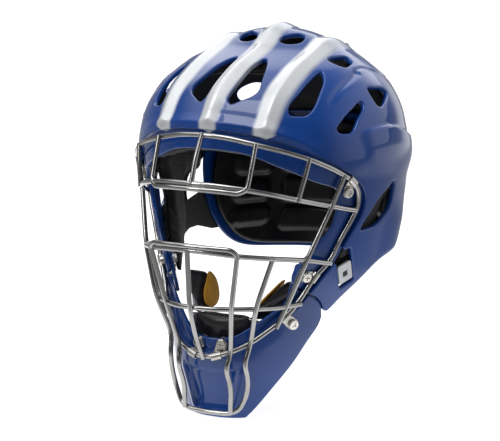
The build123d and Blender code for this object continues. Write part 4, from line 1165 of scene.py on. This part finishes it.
def webbing(name, colour, light, along, across):
    """Flat elastic: fine ribs over its width and a raised edge."""
    m, t, b = material(name)
    k = Tree(t)
    o = k.coords()
    n = k.add("ShaderNodeVectorMath", operation="DOT_PRODUCT")
    k.link(o, n.inputs[0])
    n.inputs[1].default_value = tuple(unit(np.asarray(across, float)))
    n2 = k.add("ShaderNodeVectorMath", operation="DOT_PRODUCT")
    k.link(o, n2.inputs[0])
    n2.inputs[1].default_value = tuple(unit(np.asarray(along, float)))
    ribs = k.math("SINE", k.math("MULTIPLY", n.outputs["Value"], 4200.0))
    pick = k.math("SINE", k.math("MULTIPLY", n2.outputs["Value"], 7000.0))
    h = k.math("ADD", k.math("MULTIPLY", ribs, 0.7), k.math("MULTIPLY", pick, 0.3))
    cloud = k.noise(o, 60.0, 4.0, 0.6)
    k.link(k.mix(k.span(k.math("ADD", k.math("MULTIPLY", h, 0.3), cloud), 0.2, 0.9), colour, light), b.inputs["Base Color"])
    k.link(k.span(cloud, 0.3, 0.7, 0.6, 0.75), b.inputs["Roughness"])
    b.inputs["Sheen Weight"].default_value = 0.2
    k.link(k.bump(h, 0.5, 0.0003), b.inputs["Normal"])
    return m


def metal(name, colour, light, rough, spread=0.06, scratch=0.0):
    m, t, b = material(name)
    k = Tree(t)
    o = k.coords()
    n1, n2 = k.noise(o, 40.0, 4.0, 0.55), k.noise(k.scaled(o, (1, 1, 0.12)), 1300.0, 3.0, 0.6)
    k.link(k.mix(k.span(n1, 0.3, 0.7), colour, light), b.inputs["Base Color"])
    b.inputs["Metallic"].default_value = 1.0
    k.link(k.span(n1, 0.3, 0.7, rough, rough + spread), b.inputs["Roughness"])
    if scratch:
        k.link(k.bump(n2, scratch, 0.0001), b.inputs["Normal"])
    return m


def plastic(name, colour, light, rough, coat=0.0):
    m, t, b = material(name)
    k = Tree(t)
    o = k.coords()
    n1, n2 = k.noise(o, 45.0, 3.0, 0.5), k.noise(o, 1100.0, 2.0, 0.6)
    k.link(k.mix(k.span(n1, 0.3, 0.7), colour, light), b.inputs["Base Color"])
    k.link(k.span(n1, 0.3, 0.7, rough, rough + 0.06), b.inputs["Roughness"])
    if coat:
        b.inputs["Coat Weight"].default_value = coat
        b.inputs["Coat Roughness"].default_value = 0.08
    k.link(k.bump(n2, 0.08, 0.0002), b.inputs["Normal"])
    return m


knit_black = fabric("knit_black", (0.0045, 0.0045, 0.005), (0.016, 0.016, 0.018))
knit_gold = fabric("knit_gold", srgb(176, 120, 20), srgb(214, 158, 44), grain=900.0, rough=0.8, sheen=0.15)
edge_gold = fabric("edge_gold", srgb(196, 140, 30), srgb(222, 170, 60), grain=900.0, rough=0.75, sheen=0.1)
foam_black = foam("foam_black", (0.006, 0.006, 0.007), (0.014, 0.014, 0.016), 0.34)
# the back cushion's foam is the same black foam made darker: painted shade for a pad deep inside the helmet
foam_shaded = foam("foam_shaded", (0.0022, 0.0023, 0.0028), (0.0045, 0.0046, 0.0054), 0.36)
skin_black = foam("skin_black", (0.006, 0.006, 0.007), (0.016, 0.016, 0.018), 0.30)

pads = {
    "forehead_cushion": ("forehead_pad", 0.0042), "crown_cushion_front": ("crown_pad_front", 0.0042), "crown_cushion_rear": ("crown_pad_rear", 0.0042),
    "ear_cushion_left": ("ear_pad_left", 0.0042), "ear_cushion_right": ("ear_pad_right", 0.0042),
    "jaw_cushion_left": ("jaw_pad_left", 0.0032), "jaw_cushion_right": ("jaw_pad_right", 0.0032), "chin_cushion": ("chin_pad", 0.0036),
}
cushions = {name: pad_blank(name, node, v, 8 if "ear" in name else 4) for name, (node, v) in pads.items()}
fill(list(cushions.values()))
for name, lo in (("forehead_cushion", 9.4), ("crown_cushion_front", 4.9), ("crown_cushion_rear", 4.9), ("ear_cushion_left", 7.9), ("ear_cushion_right", 7.9),
                 ("chin_cushion", 13.4), ("jaw_cushion_left", 13.2), ("jaw_cushion_right", 13.2)):
    keep_depth(cushions[name], lo=lo)

# the jaw cushions' backs are pressed out against the guard's wall
for name in ("jaw_cushion_left", "jaw_cushion_right"):
    ob = cushions[name]
    p = to_head(get_co(ob.data))
    d = depth_at(p)
    share = smoothstep(20.5 - d, 0.0, 7.0)
    set_co(ob.data, row(p - unit(gradient(p)) * (share * 7.0)[:, None]))
    keep_depth(ob, lo=6.0)

CG = form_grid(3.4)
CP, CN = CG


def rim_lines(outline, d, x_out=None, x_in=None, low=None):
    """The outline of a region of the layer at depth d, as closed lines of points."""
    Q = CP - CN * d
    f = inside_distance(Q[..., 1:], outline)
    if x_out is not None:
        f = np.minimum(f, x_out - np.abs(Q[..., 0]))
    if x_in is not None:
        f = np.minimum(f, Q[..., 0] - x_in)
    w = Wall(CG, [(f, 0.0)], 0, 1).build()
    p = w.sample(CP, w.u, w.v) - unit(w.sample(CN, w.u, w.v)) * d
    seen, loops = set(), []
    for s in w.rim:
        if s in seen:
            continue
        loop, i = [], s
        while i not in seen and i >= 0:
            seen.add(i)
            loop.append(i)
            i = w.nxt[i]
        if len(loop) > 12:
            loops.append(p[loop])
    return loops


PAD_OUTLINES = {
    "forehead_cushion": (runs([None, (-140, 84), (-116, 80.5), (-107, 73.5), (-95, 65), (-84, 58), (-62, 58), (-62, 103), (-140, 106)]), dict(x_out=72.5), (11.0, 19.2)),
    "crown_cushion_front": (runs([None, (-46, 90), (-21, 90), (-21, 170), (-46, 170)]), dict(x_out=50.5), (6.5, 15.6)),
    "crown_cushion_rear": (runs([None, (8, 90), (50, 112), (70, 112), (70, 170), (8, 170)]), dict(x_out=50.5), (6.5, 15.6)),
    "ear_cushion_left": (runs([None, (-36.5, 52), (-20, 60), (20, 61), (36.5, 53), (40.5, 43), (38.5, 35), (33, 31), (20, 28.5), (9, 24), (4.5, 14), (3.5, 4), (9, -3), (17.5, -8), (20.5, -12), (18.5, -16.5), (9, -21.5), (-6, -28), (-26, -40.6),
                               (-40, -48.6), (-45.6, -48), (-45.9, -39.6), (-48.2, -35.6), (-50.4, -34.9), (-50.5, -30), (-49, -18), (-45, -6), (-40, 6), (-36.5, 14), (-33.5, 24), (-33.8, 38)]), dict(x_in=20.0), (9.2, 15.6)),
    "chin_cushion": (runs([None, (-120, -74), (-108, -66), (-96, -59.5), (-72, -59.0), (-66, -66), (-70, -84), (-86, -96), (-120, -98)]), dict(x_out=52.0), (15.0, 25.5)),
}
for name, ob in cushions.items():
    subdivided(ob)
for name, (outline, limit, depths) in PAD_OUTLINES.items():
    ob = cushions[name]
    lines = []
    for d in depths:
        lines += rim_lines(outline, d, **limit)
    if not lines:
        continue
    cord_ob = add_cord(ob, lines, r=0.62)
    cord_ob.data.materials.append(knit_black)
    ob.data.materials.append(knit_black)
    join_into(ob, [cord_ob])
    ob.data.name = name
# the right ear cushion is the left one's mirror image
mirror = cushions["ear_cushion_left"].data.copy()
p = get_co(mirror)
p[:, 0] *= -1
set_co(mirror, p)
mirror.flip_normals()
cushions["ear_cushion_right"].data = mirror

# chin cushion: puckered skin where its lower edge is tucked in
ob = cushions["chin_cushion"]
p = to_head(get_co(ob.data))
nrm = normals_of(ob.data)
from mathutils import noise as mnoise
low = smoothstep(-68.0 - p[:, 2], 0, 12.0) * smoothstep(-p[:, 1], 84.0, 96.0)
wave = np.array([mnoise.noise(Vector((x * 0.16, y * 0.05, z * 0.11))) + 0.5 * mnoise.noise(Vector((x * 0.34, 3.1 + y * 0.1, z * 0.2))) for x, y, z in p])
set_co(ob.data, row(p + nrm * (low * wave * 1.8)[:, None]))
keep_depth(ob, lo=13.4)

FINISH = {"chin_cushion": skin_black, "jaw_cushion_left": foam_black, "jaw_cushion_right": foam_black}
for name, ob in cushions.items():
    mat = FINISH.get(name, knit_black)
    ob.data.materials.clear()
    ob.data.materials.append(mat)
    for poly in ob.data.polygons:
        poly.material_index = 0
    ob.data.shade_smooth()
    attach(ob, "helmet")
    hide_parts(pads[name][0])


def comfort_face(name, side):
    """The oval comfort face on a jaw cushion's inner end: a low dome with a sewn edge, leaning with the cushion."""
    # outline in side view, from the top round by the front
    oval = spline([(-50.0, -38.2), (-59.0, -41.6), (-68.5, -47.2), (-76.5, -53.8), (-78.4, -59.0), (-73.5, -62.4), (-64.5, -62.0), (-55.5, -57.6), (-48.6, -49.0), (-47.4, -41.6)], closed=True, per=8)[:-1]
    mid = np.array([-62.4, -51.0])
    # the two ends of the lean: x at two heights
    lean = lambda z: 38.25 + (z + 34.0) * (38.25 - 19.05) / 34.0
    rings = [0.16, 0.32, 0.48, 0.62, 0.74, 0.84, 0.91, 0.955, 0.985, 1.0, 1.0, 0.985]
    lift = [3.03, 2.98, 2.9, 2.78, 2.6, 2.32, 1.98, 1.6, 1.1, 0.55, 0.2, 0.02]
    m = len(oval)
    pts, faces = [(lean(mid[1]) - 3.35, *mid)], []
    for r, l in zip(rings, lift):
        groove = 0.35 * math.exp(-((r - 0.9) / 0.03) ** 2) if l > 1 else 0.0
        q = mid + (oval - mid) * r
        for y, z in q:
            pts.append((lean(z) - 0.3 - l + groove, y, z))
    for i in range(m):
        faces.append((0, 1 + (i + 1) % m, 1 + i))
    for k in range(len(rings) - 1):
        o1, o2 = 1 + k * m, 1 + (k + 1) * m
        for i in range(m):
            j = (i + 1) % m
            faces.append((o1 + i, o1 + j, o2 + j, o2 + i))
    base = 1 + (len(rings) - 1) * m
    pts.append((lean(mid[1]) - 0.3, *mid))
    for i in range(m):
        faces.append((base + i, base + (i + 1) % m, len(pts) - 1))
    bm = bmesh.new()
    vs = [bm.verts.new(row((p[0] * side, p[1], p[2]))) for p in pts]
    for f in faces:
        bm.faces.new([vs[i] for i in f])
    bmesh.ops.recalc_face_normals(bm, faces=bm.faces)
    me = bpy.data.meshes.new(name)
    bm.to_mesh(me)
    bm.free()
    me.shade_smooth()
    ob = bpy.data.objects.new(name, me)
    bpy.context.scene.collection.objects.link(ob)
    me.materials.append(knit_gold)
    return ob


for side, word in ((1, "left"), (-1, "right")):
    ob = comfort_face("jaw_comfort_face_" + word, side)
    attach(ob, "helmet")
    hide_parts("jaw_face_" + word)

# back pad: moulded foam with raised cushions divided by channels
PP = runs([(72, 70), (58.5, 54), (47.8, 36), (43.9, 20), (43.3, 8), (44.7, -4.5), (48.6, -16), (54.8, -27), (63, -34.2), (75, -38.2), (90, -39.2), (150, -38.8)], [None, (150, 72)])


def pillow(cx, cz, w, h, r=7.0):
    a, b = np.abs(ax_ - cx) - (w / 2 - r), np.abs(z_ - cz) - (h / 2 - r)
    return -(np.hypot(np.maximum(a, 0), np.maximum(b, 0)) + np.minimum(np.maximum(a, b), 0) - r)


rise = np.zeros(GP.shape[:2])
for cx, cz, w, h in ((0.0, -21.5, 104.0, 22.0), (0.0, 5.5, 104.0, 24.0), (0.0, 34.0, 104.0, 25.0), (0.0, 56.0, 104.0, 12.0),
                     (72.5, -17.0, 27.0, 18.0), (73.5, 5.5, 26.0, 20.0), (72.5, 30.0, 27.0, 20.0)):
    d = np.clip(pillow(cx, cz, w, h, min(7.0, h / 2 - 0.5)) / 5.0, 0, 1)
    rise = np.maximum(rise, np.sqrt(1 - (1 - d) ** 2))
pad_w = Wall(GRID, [(inside_distance(GP[..., 1:] - GN[..., 1:] * 14.0, PP), 3.0)], 10.4, 19.4, inner_raised=3.4 * (1 - rise))
pad_w.build()
p, f, _ = pad_w.mesh(k=5, k_in=5, r_in=2.4)
ob = new_mesh("back_cushion", p, f)
# painted shade: the back cushion takes the darkened copy of the black foam
ob.data.materials.append(foam_shaded)
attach(ob, "back_plate")
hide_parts("plate_pad")

# ------------------------------------------------------------------ straps
SG = form_grid(2.3)
SP, SN = SG


def strap(name, outline, t_out, t_in, side, node, x_lim=None, edge_step=0.35):
    Q = SP - SN * 5.2
    f = inside_distance(Q[..., 1:], outline)
    f = np.minimum(f, Q[..., 0] - 0.0 if x_lim is None else x_lim - np.abs(Q[..., 0]))
    # the woven edge is a little thicker than the middle
    edge = np.where((f > 0) & (f < 2.2), edge_step, 0.0)
    w = Wall(SG, [(f, 0.55)], t_out + edge_step, t_in, raised=edge)
    w.build()
    p, q, _ = w.mesh(k=2, k_in=2, r_in=0.4)
    if side < 0:
        p = p * np.array([-1.0, 1, 1])
        q = q[:, ::-1]
    ob = new_mesh(name, p, q)
    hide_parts(node)
    return ob


S_REG = runs([None, (62, 15), (40, 11.5), (14, 4), (-44.5, -7.5), (-50.5, -17.5), (-36, -12.5), (-29, -34.5), (0, -24.0), (15, -18.5), (27, -18.0), (43, -23.0), (62, -23)])
T_BOX = runs([None, (60, 54), (150, 54), (150, 104), (60, 104)])
web_side = webbing("web_side", (0.004, 0.004, 0.0045), (0.014, 0.014, 0.015), (0, 1, 0.12), (0.2, 0, 1))
web_top = webbing("web_top", (0.004, 0.004, 0.0045), (0.014, 0.014, 0.015), (0, 0.2, 1), (1, 0, 0))
for side, word in ((1, "left"), (-1, "right")):
    ob = strap("side_band_" + word, S_REG, 4.6, 5.8, side, "side_strap_" + word)
    ob.data.materials.append(web_side)
    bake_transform(ob)
ob = strap("top_band", T_BOX, 4.6, 5.8, 1, "top_strap", x_lim=17.0)
ob.data.materials.append(web_top)
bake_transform(ob)

# ------------------------------------------------------------------ finishes of the hard pieces
wire_chrome = metal("wire_chrome", (0.34, 0.335, 0.325), (0.42, 0.415, 0.405), 0.14, 0.06)
clip_satin = metal("clip_satin", (0.50, 0.48, 0.45), (0.62, 0.60, 0.56), 0.26, 0.08, 0.12)
screw_bright = metal("screw_bright", (0.66, 0.63, 0.58), (0.78, 0.75, 0.70), 0.17, 0.07)
zinc = metal("zinc", (0.44, 0.44, 0.45), (0.55, 0.55, 0.56), 0.3, 0.1, 0.1)
rivet_cap = metal("rivet_cap", (0.5, 0.49, 0.47), (0.62, 0.6, 0.57), 0.24, 0.08)
tab_plastic = plastic("tab_plastic", srgb(206, 210, 214), srgb(222, 225, 228), 0.32, 0.5)
post_plastic = plastic("post_plastic", (0.006, 0.006, 0.007), (0.012, 0.012, 0.013), 0.45)
HARD = {"cage_rim": wire_chrome, "cage_eye_bar": wire_chrome, "cage_eye_loop": wire_chrome, "cage_brow_posts": wire_chrome, "cage_side_bars": wire_chrome,
        "cage_nose_bar": wire_chrome, "cage_nose_loop": wire_chrome, "cage_lower_loop": wire_chrome, "cage_centre_bar": wire_chrome, "cage_mouth_bar": wire_chrome,
        "temple_clips": clip_satin, "cheek_clips": clip_satin, "jaw_clips": clip_satin, "chin_clips": clip_satin, "cage_screws": screw_bright, "cage_nuts": zinc,
        "plate_rivets": rivet_cap, "shell_rivets": rivet_cap, "strap_tab_left": tab_plastic, "strap_tab_right": tab_plastic,
        "strap_post_left": post_plastic, "strap_post_right": post_plastic}
for node, mat in HARD.items():
    me = nodes[node].data
    me.materials.clear()
    me.materials.append(mat)
    for poly in me.polygons:
        poly.material_index = 0

# ------------------------------------------------------------------ camera, floor and light
AZ, EL, DIST, PX = math.radians(28.0), math.radians(11.3), 1900.0, 1.18
right = np.array([math.cos(AZ), math.sin(AZ), 0.0])
back = np.array([math.sin(AZ) * math.cos(EL), -math.cos(AZ) * math.cos(EL), math.sin(EL)])
upv = np.array([-math.sin(AZ) * math.sin(EL), math.cos(AZ) * math.sin(EL), math.cos(EL)])
aim = right * (-25 / PX) + upv * (-0.5 / PX)
cam_data = bpy.data.cameras.new("camera")
cam = bpy.data.objects.new("camera", cam_data)
bpy.context.scene.collection.objects.link(cam)
cam_data.sensor_width = 36.0
cam_data.lens = 36.0 * DIST * PX / 500.0
cam_data.clip_start, cam_data.clip_end = 0.05, 50.0
cam.matrix_world = Matrix((
    (right[0], upv[0], back[0], 0), (right[1], upv[1], back[1], 0), (right[2], upv[2], back[2], 0), (0, 0, 0, 1)))
cam.location = Vector(row(aim + back * DIST))
bpy.context.scene.camera = cam
bpy.context.scene.view_settings.view_transform = "Standard"

floor_me = bpy.data.meshes.new("studio_floor")
bm = bmesh.new()
n = 48
prof = [(-6.0, 0.0), (-2.0, 0.0), (0.0, 0.0), (1.6, 0.0)] + [(1.6 + 1.2 * math.sin(a), 1.2 - 1.2 * math.cos(a)) for a in np.linspace(0.1, math.pi / 2, 14)]
vs = [[bm.verts.new((x, y, z - 0.0002)) for y, z in prof] for x in (-6.0, 6.0)]
for i in range(len(prof) - 1):
    bm.faces.new((vs[0][i], vs[1][i], vs[1][i + 1], vs[0][i + 1]))
bm.to_mesh(floor_me)
bm.free()
floor_me.shade_smooth()
floor = bpy.data.objects.new("studio_floor", floor_me)
bpy.context.scene.collection.objects.link(floor)
floor.rotation_euler = (0, 0, AZ)
m, t, b = material("studio_paper")
k = Tree(t)
g = k.noise(k.coords(), 3.0, 4.0)
paper = k.mix(k.span(g, 0.3, 0.7), (0.88, 0.882, 0.885), (0.91, 0.912, 0.915))
# painted light: the paper glows (emission) in a pool where the helmet stands and behind it, falling off towards the
# front, and its base colour is lighter there; the glow washes out the helmet's shadow on it
fx, fy, fz = k.xyz(k.coords())
wide = k.math("MULTIPLY", fy, 0.112)
near = k.math("MULTIPLY", k.span(k.math("ADD", fx, wide), -0.32, -0.245), k.span(k.math("SUBTRACT", fx, wide), 0.205, 0.28, 1.0, 0.0))
near = k.math("MULTIPLY", k.math("MULTIPLY", near, k.span(fy, -0.25, -0.172)), k.span(fz, 0.12, 0.5, 1.0, 0.0))
k.link(k.mix(near, (0.36, 0.362, 0.365), (0.42, 0.42, 0.42)), b.inputs["Base Color"])
k.link(paper, b.inputs["Emission Color"])
# painted light: a second patch of glow on the paper, off to the right of the helmet
painted_glow_aside = k.math("MULTIPLY", k.span(k.math("SUBTRACT", fx, wide), 0.50, 0.80), k.math("MULTIPLY", k.span(fx, 1.5, 2.4, 1.0, 0.0), k.span(fy, -0.6, -0.1)))
k.link(k.math("ADD", k.math("MULTIPLY", near, 0.95), k.math("MULTIPLY", painted_glow_aside, 0.75)), b.inputs["Emission Strength"])
b.inputs["Roughness"].default_value = 0.9
b.inputs["Specular IOR Level"].default_value = 0.1
floor_me.materials.append(m)
floor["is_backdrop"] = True

world = bpy.data.worlds.new("studio")
bpy.context.scene.world = world
world.use_nodes = True
k = Tree(world.node_tree)
ground = world.node_tree.nodes["Background"]
way = k.add("ShaderNodeTexCoord").outputs["Generated"]
wx, wy, wz = k.xyz(way)


def toward(d, a, b, top):
    """Soft lobe of light from one direction."""
    n = k.add("ShaderNodeVectorMath", operation="DOT_PRODUCT")
    k.link(way, n.inputs[0])
    n.inputs[1].default_value = tuple(unit(np.asarray(d, float)))
    return k.span(n.outputs["Value"], a, b, 0.0, top)


up3 = np.array([0.0, 0.0, 1.0])
glow = k.math("ADD", toward(up3 * 1.0 - right * 0.32 + back * 0.1, 0.68, 0.92, 1.6), toward(right * 1.0 + up3 * 0.18 - back * 0.30, 0.50, 0.92, 0.95))
glow = k.math("ADD", glow, toward(up3 * 0.62 - back * 0.8 + right * 0.08, 0.80, 0.96, 1.7))
glow = k.math("ADD", glow, toward(-right * 1.0 + up3 * 0.3 - back * 0.4, 0.5, 0.98, 0.14))
k.link(k.math("ADD", glow, 0.10), ground.inputs["Strength"])
ground.inputs["Color"].default_value = (0.98, 0.985, 1.0, 1)


def lamp(name, at, to, size, power, colour=(1, 1, 1)):
    """A softbox placed in camera terms: at is (right, up, towards the camera) in metres from the helmet's middle."""
    d = bpy.data.lights.new(name, "AREA")
    d.shape = "RECTANGLE"
    d.size, d.size_y = size
    d.energy = power
    d.color = colour
    o = bpy.data.objects.new(name, d)
    bpy.context.scene.collection.objects.link(o)
    mid = np.array([0, 0.0, 0.16])
    p = mid + right * at[0] + upv * at[1] + back * at[2]
    q = mid + right * to[0] + upv * to[1] + back * to[2]
    o.location = p
    o.rotation_euler = (Vector(q) - Vector(p)).to_track_quat("-Z", "Y").to_euler()
    return o


lamp("key_top", (-0.35, 1.7, 0.9), (0, 0, 0), (0.9, 0.7), 9)
lamp("side_left", (-1.25, 0.75, 1.1), (0, 0, 0), (0.45, 0.7), 6.0)

bpy.context.view_layer.update()
lo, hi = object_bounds()
